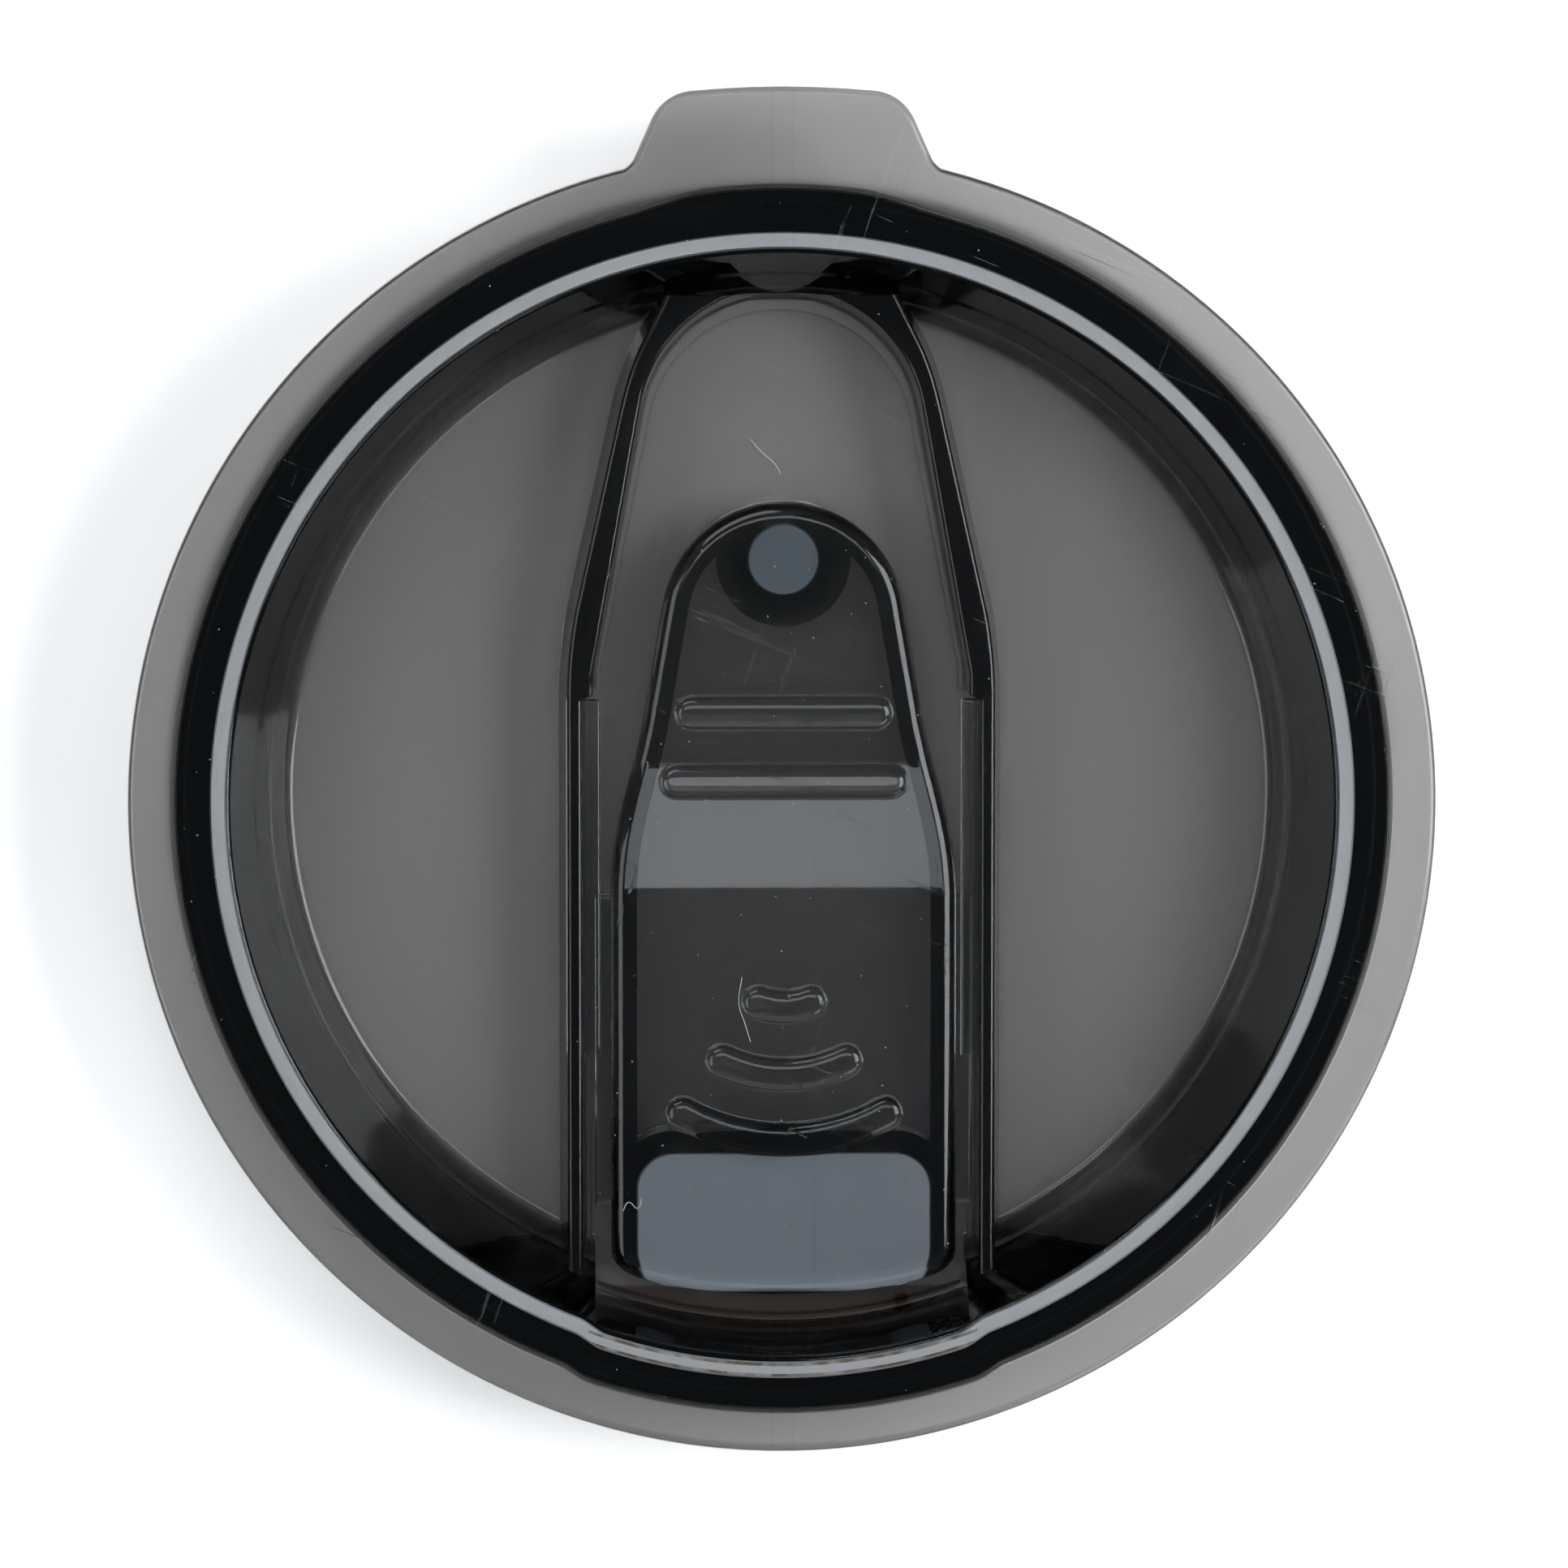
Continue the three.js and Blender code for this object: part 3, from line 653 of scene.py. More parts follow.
pad_pocket = block("pad_pocket", around_pad(SEAL_GAP), FLOOR_T, SLIDER_TOP - PLATE_T)
disc_pocket = disc("disc_pocket", DISC_R + SEAL_GAP, FLOOR_T, SLIDER_LOW - PLATE_T, SLIDER_X, VENT_Y)
combine(slider, [pad_pocket, disc_pocket], "DIFFERENCE")
report(slider)

# %% [markdown]
# ## Finger grips
# Each grip is a rib along a line or an arc. Its rings are the same capsule drawn wider or
# narrower, so that it rises from the plate with a soft fillet and ends in a dome. GRIP_FULLNESS
# is an exponent below 1, which makes the dome fuller than a round one.

# %% Finger grips
GRIP_H = 0.55
GRIP_W = 2.1
GRIP_FOOT = 0.22
GRIP_FOOT_H = 0.15
GRIP_FOOT_Z = 0.005
GRIP_SINK = 0.3
GRIP_FULLNESS = 0.68
GRIP_CREST = 0.02
GRIPS_STRAIGHT = [(5.7, 14.8), (1.0, 16.8)]
GRIP_ARC_Y = -9.5
GRIPS_ARC = [(5.0, 21.0), (9.7, 26.0), (14.2, 29.5)]


def capsule(spine, spread, count=10):
    """Outline at one distance round a line of points."""
    right, left = [], []
    last = len(spine) - 1
    for i, (x, y) in enumerate(spine):
        before, after = Vector(spine[max(i - 1, 0)]), Vector(spine[min(i + 1, last)])
        along = (after - before).normalized()
        right.append((x + along.y * spread, y - along.x * spread))
        left.append((x - along.y * spread, y + along.x * spread))
    start = Vector(spine[1]) - Vector(spine[0])
    end = Vector(spine[-1]) - Vector(spine[-2])
    end_angle = math.degrees(math.atan2(end.y, end.x))
    start_angle = math.degrees(math.atan2(start.y, start.x))
    cap_end = arc(*spine[-1], spread, end_angle - 90, end_angle + 90, count)[1:-1]
    cap_start = arc(*spine[0], spread, start_angle + 90, start_angle + 270, count)[1:-1]
    return right + cap_end + left[::-1] + cap_start


def grip(spine):
    """A rib along the spine: its foot, a fillet and a full dome, each following the slider's top."""
    half = GRIP_W / 2
    dome_from = GRIP_FOOT_Z + GRIP_FOOT_H
    rings = [raised(capsule(spine, half + GRIP_FOOT), -GRIP_SINK)]
    for angle in quarter(4):
        spread = half + GRIP_FOOT * (1 - math.sin(angle))
        rings.append(raised(capsule(spine, spread), GRIP_FOOT_Z + GRIP_FOOT_H * (1 - math.cos(angle))))
    for angle in quarter(12)[1:]:
        spread = max(half * math.cos(angle) ** GRIP_FULLNESS, GRIP_CREST)
        rings.append(raised(capsule(spine, spread), dome_from + (GRIP_H - dome_from) * math.sin(angle)))
    return stack("grip", rings)


def straight_spine(y, length, steps=24):
    reach = (length - GRIP_W) / 2
    return [(SLIDER_X - reach + 2 * reach * i / steps, y) for i in range(steps + 1)]


grips = [grip(straight_spine(y, length)) for y, length in GRIPS_STRAIGHT]
for radius, half in GRIPS_ARC:
    grips.append(grip(arc(SLIDER_X, GRIP_ARC_Y, radius, -90 - half, -90 + half, 24)))
combine(slider, grips, "UNION")
smooth(slider, angle=40)
report(slider)

# %% [markdown]
# ## Seals and gasket
# The seals are soft pads in their pockets. The gasket has a leg in the slot, a foot under the
# skirt and a thin lip that presses on the cup.

# %% Seals and gasket
seal_z = FLOOR_T + SEAL_LIFT
pad_top, vent_top = SLIDER_TOP - PLATE_T - SEAL_GAP, SLIDER_LOW - PLATE_T - SEAL_GAP
pad = block("mouth_pad", around_pad(0), seal_z, pad_top, *PAD_ROUNDS)
vent_pad = block("vent_pad", circle_outline(SLIDER_X, VENT_Y, DISC_R), seal_z, vent_top, *DISC_ROUNDS)


def gasket_section(azimuth):
    """The leg in the slot and the foot with its lip, in step with the ring's swelling."""
    out, _ = swell(azimuth)
    inner, outer = SLOT_IN + out + SEAL_GAP, SLOT_OUT + out - SEAL_GAP
    top, foot_top = SLOT_Z - SEAL_GAP, SKIRT_Z - SEAL_GAP
    foot = foot_top - FOOT_T
    root = SKIRT_R + out
    tip = root + SEAL_LIP
    return [
        (inner, foot + FOOT_EDGE), (inner + FOOT_EDGE, foot), (root - FOOT_T / 2, foot),
        (tip, foot_top + SEAL_RISE / 2), (tip, foot_top + SEAL_RISE), (root - FOOT_EDGE, foot_top),
        (outer + SKIRT_TAPER, foot_top), (outer, top), (inner, top),
    ]


gasket = sweep("gasket_ring", gasket_section)
for piece in (pad, vent_pad, gasket):
    smooth(piece, angle=40)
    report(piece)

# %% [markdown]
# ## Helpers for node groups
# Effects that several finishes share are node groups with named inputs and outputs. They hold only
# masks, values and colours, in Object coordinates, so they keep their place when a piece moves.

# %% Helpers for node groups
def node_group(name, inputs, outputs, kind="ShaderNodeTree"):
    """A new group; inputs are (name, socket type, value) and outputs are (name, socket type)."""
    tree = bpy.data.node_groups.new(name, kind)
    for label, socket_type, value in inputs:
        socket = tree.interface.new_socket(label, in_out="INPUT", socket_type=socket_type)
        if value is not None:
            socket.default_value = value
    for label, socket_type in outputs:
        tree.interface.new_socket(label, in_out="OUTPUT", socket_type=socket_type)
    return tree, tree.nodes.new("NodeGroupInput").outputs, tree.nodes.new("NodeGroupOutput").inputs


def feed(tree, socket, value):
    """Sets a socket from a number, or links it to another socket."""
    if isinstance(value, bpy.types.NodeSocket):
        tree.links.new(value, socket)
    else:
        socket.default_value = value


def calc(tree, operation, *values):
    """One step of arithmetic on numbers or sockets."""
    node = tree.nodes.new("ShaderNodeMath")
    node.operation = operation
    for socket, value in zip(node.inputs, values):
        feed(tree, socket, value)
    return node.outputs[0]


def place(tree):
    """Object coordinates, whole and as X, Y and Z."""
    whole = tree.nodes.new("ShaderNodeTexCoord").outputs["Object"]
    parts = tree.nodes.new("ShaderNodeSeparateXYZ")
    tree.links.new(whole, parts.inputs[0])
    return whole, parts.outputs


def cloud(tree, vector, scale, low, high, turn=0.0, stretch=1.0, detail=0.0):
    """Noise cut to a mask between two levels, and drawn out to streaks by stretch."""
    turned = tree.nodes.new("ShaderNodeVectorRotate")
    turned.rotation_type = "Z_AXIS"
    tree.links.new(vector, turned.inputs["Vector"])
    turned.inputs["Angle"].default_value = turn
    mapping = tree.nodes.new("ShaderNodeMapping")
    tree.links.new(turned.outputs[0], mapping.inputs["Vector"])
    mapping.inputs["Scale"].default_value = (scale / stretch, scale, scale)
    noise = tree.nodes.new("ShaderNodeTexNoise")
    tree.links.new(mapping.outputs[0], noise.inputs["Vector"])
    noise.inputs["Scale"].default_value = 1
    noise.inputs["Detail"].default_value = detail
    mask = tree.nodes.new("ShaderNodeMapRange")
    tree.links.new(noise.outputs[0], mask.inputs["Value"])
    mask.inputs["From Min"].default_value = low
    mask.inputs["From Max"].default_value = high
    return mask.outputs[0]


def total(tree, values, operation="ADD"):
    """All values taken together by one operation."""
    result = values[0]
    for value in values[1:]:
        result = calc(tree, operation, result, value)
    return result


def distance(tree, *parts):
    """Length of a line from its parts along X and Y."""
    return calc(tree, "SQRT", total(tree, [calc(tree, "MULTIPLY", part, part) for part in parts]))


def mixed(tree, mask, clean, marked_colour):
    """A colour between two others."""
    node = tree.nodes.new("ShaderNodeMix")
    node.data_type = "RGBA"
    tree.links.new(mask, node.inputs["Factor"])
    feed(tree, node.inputs[6], clean)
    feed(tree, node.inputs[7], marked_colour)
    return node.outputs[2]


def inputs_of(tree):
    """Names of a group's inputs, to print."""
    return [item.name for item in tree.interface.items_tree if item.in_out == "INPUT"]


print("node helpers ready, groups so far:", len(bpy.data.node_groups))

# %% [markdown]
# ## Worn surface
# A lid that has been used has faint finger smudges and hairline scratches. Its channel floor has a
# fine frosted border, and the flange and tab are matt underneath and tinted darker there, so that
# less light comes through them. One group gives the roughness of all these and the height of the
# scratches and of two weld lines. A painted mask could do the same, but rules need no picture. Each
# noise is given by its scale and by the two levels that it is cut between.

# %% Worn surface
SMUDGES = (120, 0.5, 0.78)
SCRATCHES = (3200, 0.735, 0.8)
SCRATCH_TURNS = (0.4, 1.9)
SCRATCH_STRETCH = 60
SCRATCHED_PLACES = (160, 0.54, 0.68)
FROST_Z = FLOOR_T + STEP_H
FROST_REACH = 0.04
WELD_REACH = 0.05
MATT_R = SKIRT_R + SKIRT_FILLET
MATT_Z = FLANGE_Z + EDGE_R / 2


def worn_surface():
    """Roughness, scratch height and the matt underside from an object's own coordinates."""
    tree, given, result = node_group(
        "worn_surface",
        [
            ("Clean Roughness", "NodeSocketFloat", 0.04), ("Smudge", "NodeSocketFloat", 0.1),
            ("Scratch", "NodeSocketFloat", 0.15), ("Frost", "NodeSocketFloat", 0.3),
            ("Weld X 1", "NodeSocketFloat", 0.0), ("Weld X 2", "NodeSocketFloat", 0.0),
            ("Weld From", "NodeSocketFloat", 0.036), ("Matt", "NodeSocketFloat", 0.3),
        ],
        [("Roughness", "NodeSocketFloat"), ("Height", "NodeSocketFloat"), ("Matt Mask", "NodeSocketFloat")],
    )
    whole, (x, y, z) = place(tree)
    smudge = cloud(tree, whole, *SMUDGES, detail=3)
    streaks = [cloud(tree, whole, *SCRATCHES, turn, SCRATCH_STRETCH) for turn in SCRATCH_TURNS]
    where = cloud(tree, whole, *SCRATCHED_PLACES)
    scratch = calc(tree, "MULTIPLY", total(tree, streaks, "MAXIMUM"), where)
    frost = calc(tree, "COMPARE", z, FROST_Z * MM, FROST_REACH * MM)
    far = calc(tree, "GREATER_THAN", calc(tree, "ABSOLUTE", y), given["Weld From"])
    welds = [calc(tree, "COMPARE", x, given[name], WELD_REACH * MM) for name in ("Weld X 1", "Weld X 2")]
    weld = calc(tree, "MULTIPLY", total(tree, welds, "MAXIMUM"), far)
    outside = calc(tree, "GREATER_THAN", distance(tree, x, y), MATT_R * MM)
    matt = calc(tree, "MULTIPLY", outside, calc(tree, "LESS_THAN", z, MATT_Z * MM))
    rough = total(tree, [
        given["Clean Roughness"],
        calc(tree, "MULTIPLY", matt, given["Matt"]),
        calc(tree, "MULTIPLY", smudge, given["Smudge"]),
        calc(tree, "MULTIPLY", scratch, given["Scratch"]),
        calc(tree, "MULTIPLY", frost, given["Frost"]),
    ])
    tree.links.new(rough, result["Roughness"])
    tree.links.new(calc(tree, "SUBTRACT", 1.0, calc(tree, "MAXIMUM", scratch, weld)), result["Height"])
    tree.links.new(matt, result["Matt Mask"])
    return tree


worn = worn_surface()
print(worn.name, "inputs:", inputs_of(worn))

# %% [markdown]
# ## Coffee residue and painted shade
# The corner in front of the slider is darkened as painted shade, and holds one dried drop of coffee.
# Brown lines of residue lie on both edges of the gasket at the mouth. Each is a mask by place,
# broken up by noise.

# %% Coffee residue and painted shade
DROP = (8.5, -35.8)
DROP_R = 0.5
DROP_CORE = 0.25
DROP_BROWN = (0.24, 0.12, 0.05, 1)
DROP_EDGE = (1800, 0.2, 0.8)
FRONT_Y = -34.7
CORNER_TOP = 2.4
RING_LINES = ((38.5, 0.10), (39.22, 0.09))
RING_BREAKS = (700, 0.25, 0.55)


def colour_group(name, clean, marked_colour):
    """A group that gives a clean colour or a marked one: residue on the ring, painted shade in the corner.
    """
    return node_group(
        name,
        [("Clean", "NodeSocketColor", (*clean, 1)), ("Residue And Shade", "NodeSocketColor", (*marked_colour, 1))],
        [("Color", "NodeSocketColor")],
    )


def shaded_corner_and_drop():
    """Darkens the corner between the slider's front and the wall as painted shade, with a dried drop in it.
    """
    # Painted shade: the second colour darkens the corner between the slider's front and the wall, where
    # shade falls; the drop in it is dried coffee.
    tree, given, result = colour_group("shaded_corner_and_drop", (1, 1, 1), (0.60, 0.55, 0.52))
    whole, (x, y, z) = place(tree)
    corner = total(tree, [
        calc(tree, "LESS_THAN", y, FRONT_Y * MM),
        calc(tree, "LESS_THAN", calc(tree, "ABSOLUTE", x), MOUTH_HALF * MM),
        calc(tree, "LESS_THAN", z, CORNER_TOP * MM),
    ], "MULTIPLY")
    color = mixed(tree, corner, given["Clean"], given["Residue And Shade"])
    dx = calc(tree, "SUBTRACT", x, DROP[0] * MM)
    dy = calc(tree, "SUBTRACT", y, DROP[1] * MM)
    ragged = calc(tree, "MULTIPLY", cloud(tree, whole, *DROP_EDGE), DROP_R * MM)
    drop = calc(tree, "LESS_THAN", distance(tree, dx, dy), calc(tree, "ADD", ragged, DROP_CORE * MM))
    color = mixed(tree, calc(tree, "MULTIPLY", drop, corner), color, DROP_BROWN)
    tree.links.new(color, result["Color"])
    return tree


def ring_residue():
    """Brown lines along both edges of the gasket at the mouth."""
    tree, given, result = colour_group("ring_residue", (0.93, 0.93, 0.93), (0.28, 0.19, 0.12))
    whole, (x, y, z) = place(tree)
    radius = distance(tree, x, y)
    lines = [calc(tree, "COMPARE", radius, r * MM, half * MM) for r, half in RING_LINES]
    mask = total(tree, [
        total(tree, lines, "MAXIMUM"),
        calc(tree, "LESS_THAN", y, 0.0),
        calc(tree, "LESS_THAN", calc(tree, "ABSOLUTE", x), JOG_HALF * MM),
        cloud(tree, whole, *RING_BREAKS, detail=2),
    ], "MULTIPLY")
    tree.links.new(mixed(tree, mask, given["Clean"], given["Residue And Shade"]), result["Color"])
    return tree


corner_shade_and_drop, ring_dirt = shaded_corner_and_drop(), ring_residue()
print("residue groups:", corner_shade_and_drop.name, ring_dirt.name)

# %% [markdown]
# ## Materials
# The plastic is a clear dielectric with a plain absorbing volume, so that it darkens with the
# length of plastic that light passes, as the real tinted lid does. The seals are matt silicone.

# %% Materials
CLEAR = (1, 1, 1, 1)
MATT_TINT = (0.62, 0.62, 0.62, 1)
SMOKE = (0.09, 0.075, 0.065)
BODY_DENSITY = 500
SLIDER_DENSITY = 470
BODY_WELD_X = 0.69
BODY_WELD_FROM = 35.5
SLIDER_WELD_X = 2.35
SLIDER_WELD_FROM = 3.0
RUBBER_SKIN = (2500, 0.3, 0.7)


def principled(name):
    """A new material with its node tree and shader."""
    material = bpy.data.materials.new(name)
    material.use_nodes = True
    return material, material.node_tree, material.node_tree.nodes["Principled BSDF"]


def use(tree, group, **values):
    """Places a group in a material with its own values."""
    node = tree.nodes.new("ShaderNodeGroup")
    node.node_tree = group
    for label, value in values.items():
        node.inputs[label.replace("_", " ")].default_value = value
    return node.outputs


def bumped(tree, shader, height, strength, reach):
    """Feeds a height to the shader's normal; reach is in millimetres."""
    bump = tree.nodes.new("ShaderNodeBump")
    bump.inputs["Strength"].default_value = strength
    bump.inputs["Distance"].default_value = reach * MM
    tree.links.new(height, bump.inputs["Height"])
    tree.links.new(bump.outputs[0], shader.inputs["Normal"])


def plastic(name, density, dirt_and_shade=None, **wear):
    """Clear smoky plastic with the worn surface, and with residue and painted shade where a group is given.
    """
    material, tree, shader = principled(name)
    shader.inputs["Base Color"].default_value = CLEAR
    shader.inputs["Transmission Weight"].default_value = 1
    shader.inputs["IOR"].default_value = 1.5
    surface = use(tree, worn, **wear)
    tree.links.new(surface["Roughness"], shader.inputs["Roughness"])
    bumped(tree, shader, surface["Height"], 0.6, 0.03)
    if dirt_and_shade:
        stain_and_shade = tree.nodes.new("ShaderNodeGroup")
        stain_and_shade.node_tree = dirt_and_shade
        tree.links.new(mixed(tree, surface["Matt Mask"], CLEAR, MATT_TINT), stain_and_shade.inputs["Clean"])
        tree.links.new(stain_and_shade.outputs["Color"], shader.inputs["Base Color"])
    absorb = tree.nodes.new("ShaderNodeVolumeAbsorption")
    absorb.inputs["Color"].default_value = (*SMOKE, 1)
    absorb.inputs["Density"].default_value = density
    tree.links.new(absorb.outputs[0], tree.nodes["Material Output"].inputs["Volume"])
    return material


def silicone(name, color, roughness, dirt_and_shade=None):
    """Matt rubber with a faint unevenness of its skin."""
    material, tree, shader = principled(name)
    shader.inputs["Base Color"].default_value = (*color, 1)
    shader.inputs["Roughness"].default_value = roughness
    if dirt_and_shade:
        tree.links.new(use(tree, dirt_and_shade)["Color"], shader.inputs["Base Color"])
    whole, _ = place(tree)
    bumped(tree, shader, cloud(tree, whole, *RUBBER_SKIN), 0.2, 0.02)
    return material


# The body's plastic carries the corner's painted shade and its dried drop.
body_plastic = plastic(
    "smoky_body", BODY_DENSITY, corner_shade_and_drop,
    Weld_X_1=-BODY_WELD_X * MM, Weld_X_2=BODY_WELD_X * MM, Weld_From=BODY_WELD_FROM * MM,
)
slider_plastic = plastic(
    "smoky_slider", SLIDER_DENSITY, Frost=0,
    Weld_X_1=SLIDER_WELD_X * MM, Weld_X_2=SLIDER_WELD_X * MM, Weld_From=SLIDER_WELD_FROM * MM,
)
white_silicone = silicone("white_silicone", (0.93, 0.93, 0.93), 0.5, ring_dirt)
grey_silicone = silicone("grey_silicone", (0.70, 0.78, 0.86), 0.5)
vent_silicone = silicone("vent_silicone", (0.40, 0.47, 0.53), 0.5)
print("materials:", [material.name for material in bpy.data.materials])

# %% [markdown]
# ## Giving each piece its material and body, and hiding its CAD node
# Each piece replaces its CAD node and rides on the body that moves it: the lid stays, and the
# slider carries its two seals along.

# %% Materials, nodes and bodies
for obj, material, node, body, slot in (
    (lid, body_plastic, "lid_body", "lid", "smoky_plastic"),
    (slider, slider_plastic, "slider", "closure", "smoky_plastic_slider"),
    (pad, grey_silicone, "mouth_seal", "closure", "pale_silicone"),
    (vent_pad, vent_silicone, "vent_seal", "closure", "pale_silicone"),
    (gasket, white_silicone, "rim_gasket", "lid", "pale_silicone"),
):
    obj.data.materials.clear()
    obj.data.materials.append(material)
    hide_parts(node)
    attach(obj, body)
    print(obj.name, "replaces", node, "on", body)

# %% [markdown]
# ## Dust
# The photo shows pale specks all over the lid. Geometry Nodes scatters them on the faces that look
# up, by a density and a seed, which is quicker than placing each one and keeps them even. Each
# speck lies just under the surface, so that the lid's outer size stays the same.

# %% Dust
FACES_UP = 0.6
DUST = (("dust_lid", lid, "lid", 60000.0, 3), ("dust_slider", slider, "closure", 160000.0, 8))


def dust_scatter():
    """Small balls on the faces that look up, each sunk by its own size."""
    tree, given, result = node_group(
        "dust_scatter",
        [
            ("Surface", "NodeSocketGeometry", None), ("Density", "NodeSocketFloat", 60000.0),
            ("Smallest", "NodeSocketFloat", 0.012 * MM), ("Largest", "NodeSocketFloat", 0.075 * MM),
            ("Seed", "NodeSocketInt", 3), ("Material", "NodeSocketMaterial", None),
        ],
        [("Dust", "NodeSocketGeometry")],
        "GeometryNodeTree",
    )
    new, link = tree.nodes.new, tree.links.new
    normal = new("ShaderNodeSeparateXYZ")
    link(new("GeometryNodeInputNormal").outputs[0], normal.inputs[0])
    facing = calc(tree, "GREATER_THAN", normal.outputs["Z"], FACES_UP)
    points = new("GeometryNodeDistributePointsOnFaces")
    link(given["Surface"], points.inputs["Mesh"])
    link(facing, points.inputs["Selection"])
    link(given["Density"], points.inputs["Density"])
    link(given["Seed"], points.inputs["Seed"])
    size = new("FunctionNodeRandomValue")
    size.data_type = "FLOAT"
    link(given["Smallest"], size.inputs[2])
    link(given["Largest"], size.inputs[3])
    link(given["Seed"], size.inputs["Seed"])
    sink = new("ShaderNodeCombineXYZ")
    link(calc(tree, "MULTIPLY", size.outputs[1], -1.0), sink.inputs["Z"])
    lowered = new("GeometryNodeSetPosition")
    link(points.outputs["Points"], lowered.inputs["Geometry"])
    link(sink.outputs[0], lowered.inputs["Offset"])
    speck = new("GeometryNodeMeshIcoSphere")
    speck.inputs["Radius"].default_value = 1
    speck.inputs["Subdivisions"].default_value = 1
    put = new("GeometryNodeInstanceOnPoints")
    link(lowered.outputs[0], put.inputs["Points"])
    link(speck.outputs["Mesh"], put.inputs["Instance"])
    link(size.outputs[1], put.inputs["Scale"])
    real = new("GeometryNodeRealizeInstances")
    link(put.outputs[0], real.inputs[0])
    finish = new("GeometryNodeSetMaterial")
    link(real.outputs[0], finish.inputs["Geometry"])
    link(given["Material"], finish.inputs["Material"])
    link(finish.outputs[0], result["Dust"])
    return tree


def grown(name, base, group, values):
    """The plain mesh that a Geometry Nodes group makes from a base mesh or curve."""
    carrier = added(name + "_carrier", base)
    modifier = carrier.modifiers.new("nodes", "NODES")
    modifier.node_group = group
    for item in group.interface.items_tree:
        if item.item_type == "SOCKET" and item.in_out == "INPUT" and item.name in values:
            modifier[item.identifier] = values[item.name]
    carrier.update_tag()
    mesh = worked(carrier)
    bpy.data.objects.remove(carrier)
    mesh.name = name
    return added(name, mesh)


lint = silicone("lint", (0.8, 0.8, 0.78), 0.8)
dust_group = dust_scatter()
print(dust_group.name, "inputs:", inputs_of(dust_group))
for name, surface, body, density, seed in DUST:
    values = {"Density": density, "Seed": seed, "Material": lint}
    dust = grown(name, surface.data.copy(), dust_group, values)
    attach(dust, body)
    report(dust)

# %% [markdown]
# ## Fibres
# Three thin fibres lie on the lid in the photo. Geometry Nodes sweeps a small circle along each
# path, which is a curve with a few points.

# %% Fibres
FIBRES = (
    ("closure", 6.52, [(-10.9, -28.6), (-10.5, -28.0), (-9.9, -28.4), (-9.6, -27.7)]),
    ("closure", 6.52, [(-2.7, -12.4), (-2.9, -14.3), (-2.5, -15.6), (-2.1, -16.9)]),
    ("lid", 1.55, [(-2.0, 24.3), (-1.2, 23.4), (-0.3, 22.6), (0.1, 21.9)]),
)


def fibre_sweep():
    """A thin round strand along a path."""
    tree, given, result = node_group(
        "fibre_sweep",
        [
            ("Path", "NodeSocketGeometry", None), ("Radius", "NodeSocketFloat", 0.02 * MM),
            ("Material", "NodeSocketMaterial", None),
        ],
        [("Fibre", "NodeSocketGeometry")],
        "GeometryNodeTree",
    )
    circle = tree.nodes.new("GeometryNodeCurvePrimitiveCircle")
    circle.inputs["Resolution"].default_value = 6
    tree.links.new(given["Radius"], circle.inputs["Radius"])
    sweep_node = tree.nodes.new("GeometryNodeCurveToMesh")
    sweep_node.inputs["Fill Caps"].default_value = True
    tree.links.new(given["Path"], sweep_node.inputs["Curve"])
    tree.links.new(circle.outputs[0], sweep_node.inputs["Profile Curve"])
    real = tree.nodes.new("GeometryNodeRealizeInstances")
    tree.links.new(sweep_node.outputs[0], real.inputs[0])
    finish = tree.nodes.new("GeometryNodeSetMaterial")
    tree.links.new(real.outputs[0], finish.inputs["Geometry"])
    tree.links.new(given["Material"], finish.inputs["Material"])
    tree.links.new(finish.outputs[0], result["Fibre"])
    return tree


def path_curve(name, z, points):
    """A smooth curve through a few points at one height."""
    curve = bpy.data.curves.new(name, "CURVE")
    curve.dimensions = "3D"
    spline = curve.splines.new("BEZIER")
    spline.bezier_points.add(len(points) - 1)
    for knot, (x, y) in zip(spline.bezier_points, points):
        knot.co = (x * MM, y * MM, z * MM)
        knot.handle_left_type = knot.handle_right_type = "AUTO"
    return curve


fibre_group = fibre_sweep()
print(fibre_group.name, "inputs:", inputs_of(fibre_group))
for number, (body, z, points) in enumerate(FIBRES, 1):
    name = f"fibre_{number}"
    fibre = grown(name, path_curve(name, z, points), fibre_group, {"Material": lint})
    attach(fibre, body)
    report(fibre)

# %% [markdown]
# ## The table
# The lid lies on plain white paper. Light Path tells the paper what sees it: it lights the lid
# with an ordinary white, and looks whiter to the camera, in reflections and through the plastic.
# Its tint takes out the blue of the lamps, and it keeps the lid's shadow.

# %% The table
TABLE_HALF = 900
TABLE_T = 3.0
TABLE_GAP = 0.02
PAPER = (1.05, 1.0, 0.955)
PAPER_LIT = 0.86
PAPER_SEEN = 1.7


def table_white(albedo, seen):
    """Lights the lid as plain white paper, and is seen paler, directly and through the plastic."""
    material = bpy.data.materials.new("table_white")
    material.use_nodes = True
    tree = material.node_tree
    tree.nodes.remove(tree.nodes["Principled BSDF"])
    path = tree.nodes.new("ShaderNodeLightPath").outputs
    rays = [path[f"Is {kind} Ray"] for kind in ("Camera", "Glossy", "Transmission")]
    lit, whiter = [tuple(level * part for part in PAPER) + (1,) for level in (albedo, seen)]
    paper = tree.nodes.new("ShaderNodeBsdfDiffuse")
    tree.links.new(mixed(tree, total(tree, rays, "MAXIMUM"), lit, whiter), paper.inputs["Color"])
    tree.links.new(paper.outputs[0], tree.nodes["Material Output"].inputs["Surface"])
    return material


corners = [(sx * TABLE_HALF, sy * TABLE_HALF) for sx, sy in ((-1, -1), (1, -1), (1, 1), (-1, 1))]
floor = stack("table", [flat(corners, z) for z in (-TABLE_T, -TABLE_GAP)])
floor.data.materials.append(table_white(PAPER_LIT, PAPER_SEEN))
report(floor)

# %% [markdown]
# ## Lamps and world
# Five soft lamps, slightly blue, stand round the lid. The right side is the brighter one, and the
# lamp at the back makes the slider's ramp shine. Places and sizes are in metres, and power is in
# watts.

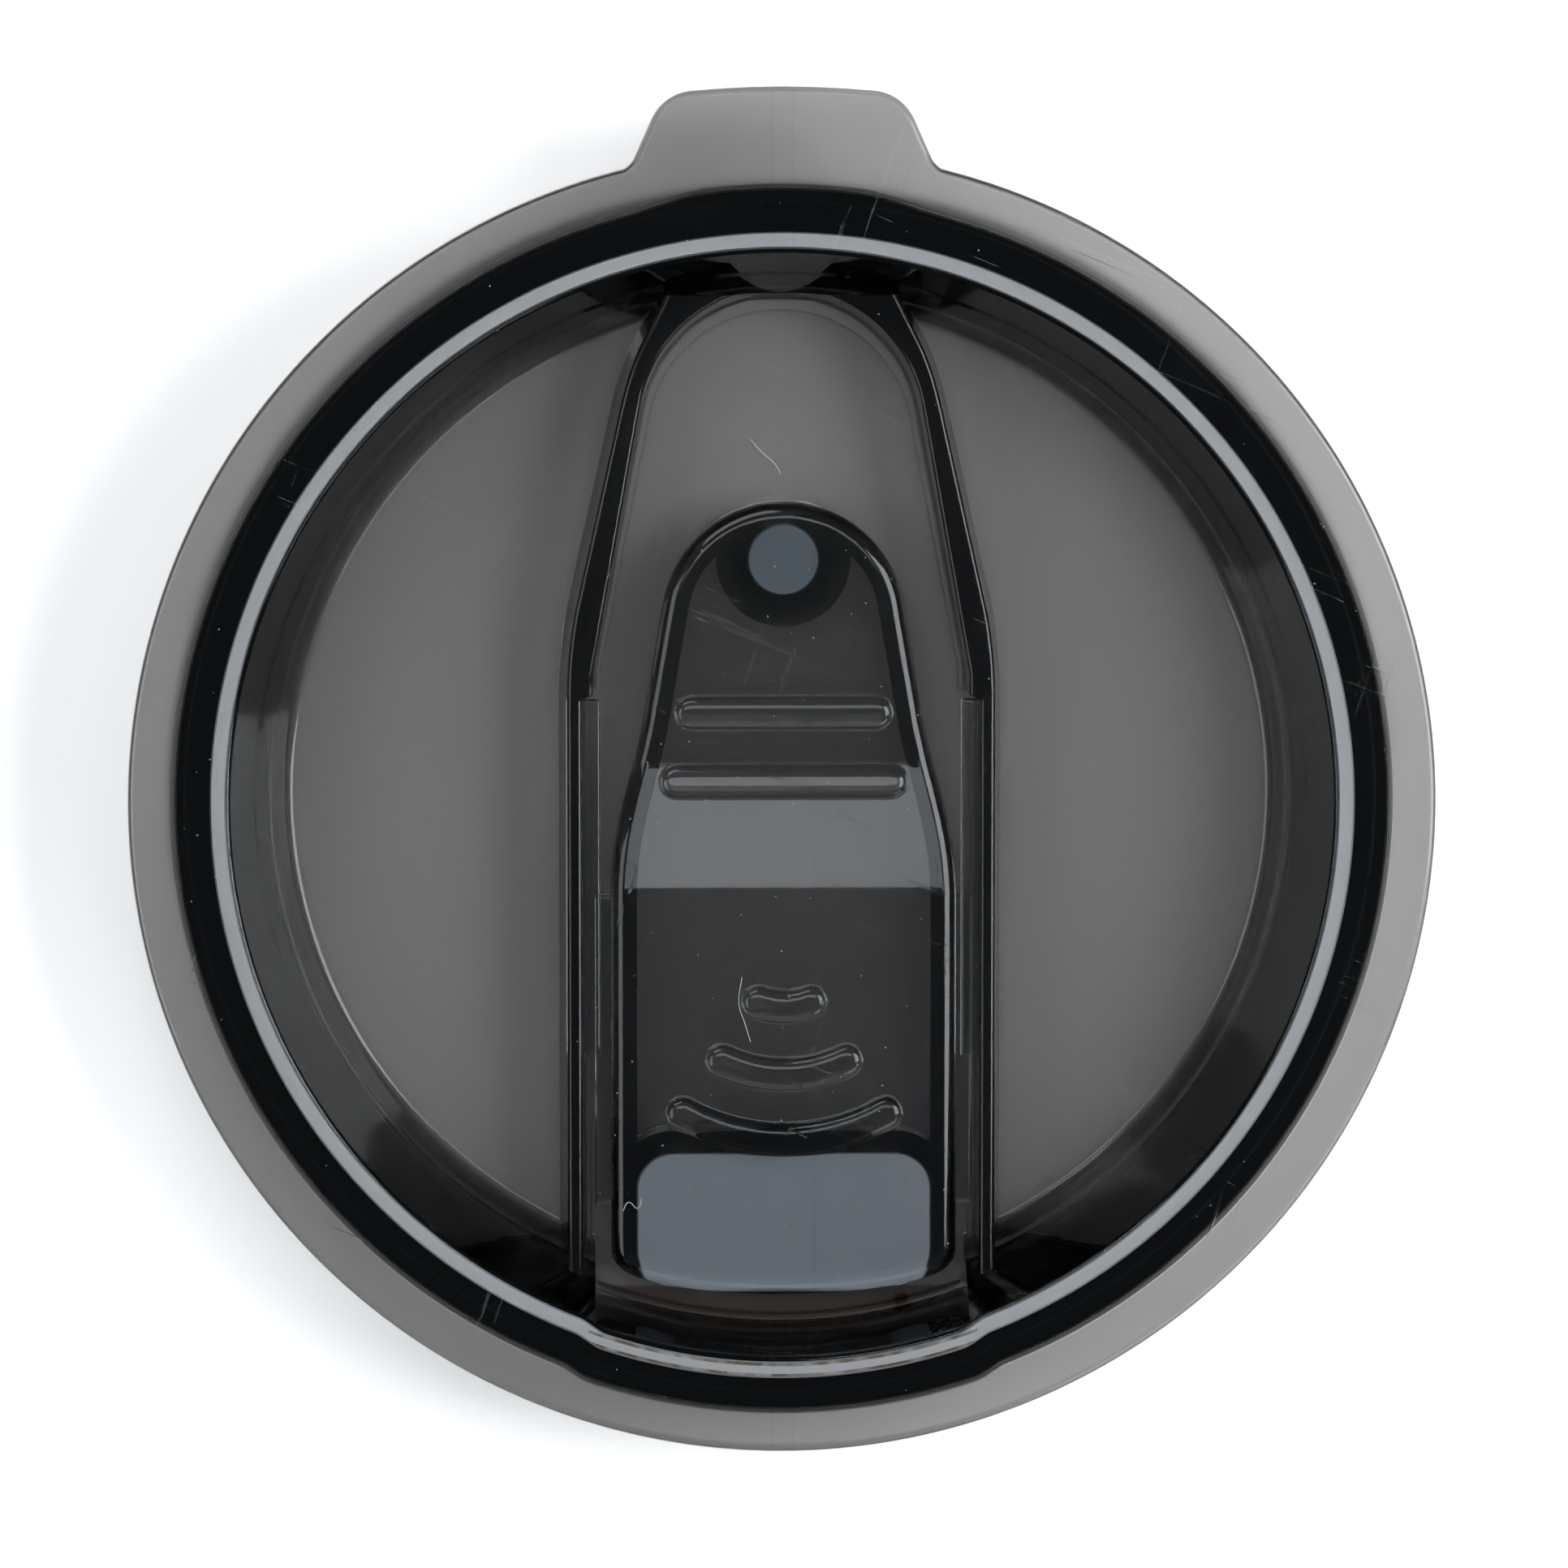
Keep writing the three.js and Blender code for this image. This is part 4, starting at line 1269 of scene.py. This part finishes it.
# %% Lamps and world
LAMP_COLOR = (0.90, 0.95, 1.0)
LAMP_TARGET = (0, 0, 0.006)
LAMPS = (
    ("right_high", (0.45, 0.06, 0.42), (0.36, 0.40), 2.6),
    ("right_low", (0.40, -0.45, 0.42), (0.40, 0.30), 0.8),
    ("left", (-0.48, -0.05, 0.45), (0.45, 0.34), 1.1),
    ("back", (0.0, 0.14, 0.75), (0.5, 0.16), 0.6),
    ("far_side", (-0.25, 0.55, 0.50), (0.50, 0.30), 1.3),
)
SKY = (0.72, 0.86, 1, 1)
SKY_STRENGTH = 0.13


def softbox(name, place, size, power):
    """A rectangular lamp that faces the lid."""
    lamp = bpy.data.lights.new(name, "AREA")
    lamp.color = LAMP_COLOR
    lamp.shape = "RECTANGLE"
    lamp.size, lamp.size_y = size
    lamp.energy = power
    obj = added(name, lamp)
    obj.location = place
    obj.rotation_euler = (Vector(LAMP_TARGET) - Vector(place)).to_track_quat("-Z", "Y").to_euler()


for lamp in LAMPS:
    softbox(*lamp)
world = bpy.data.worlds.new("studio")
scene.world = world
world.use_nodes = True
world.node_tree.nodes["Background"].inputs["Color"].default_value = SKY
world.node_tree.nodes["Background"].inputs["Strength"].default_value = SKY_STRENGTH
print("lamps:", len(LAMPS), "total power:", round(sum(lamp[3] for lamp in LAMPS), 1), "W")

# %% [markdown]
# ## Camera
# The camera looks down on the lid from 0.6 m, tilted a little towards the tab. The aim point and
# lens were fitted to the flange's circle in the photo, which is 1932 pixels wide and high.

# %% Camera
CAMERA_TARGET = (0.06, 1.48, LID_H)
CAMERA_DIRECTION = (-0.025, 0.10, 1)
CAMERA_AWAY = 0.6
SENSOR = 36
LENS = 202.7

camera_data = bpy.data.cameras.new("camera")
camera = added("camera", camera_data)
scene.camera = camera
target = Vector(CAMERA_TARGET) * MM
camera.location = target + CAMERA_AWAY * Vector(CAMERA_DIRECTION).normalized()
backward = (camera.location - target).normalized()
sideways = Vector((0, 1, 0)).cross(backward).normalized()
axes = Matrix((sideways, backward.cross(sideways), backward)).transposed()
camera.rotation_euler = axes.to_euler()
camera_data.sensor_width = SENSOR
camera_data.lens = LENS
print("camera turned by", [round(math.degrees(a), 2) for a in camera.rotation_euler])

# %% Finish
scene.view_settings.view_transform = "Standard"
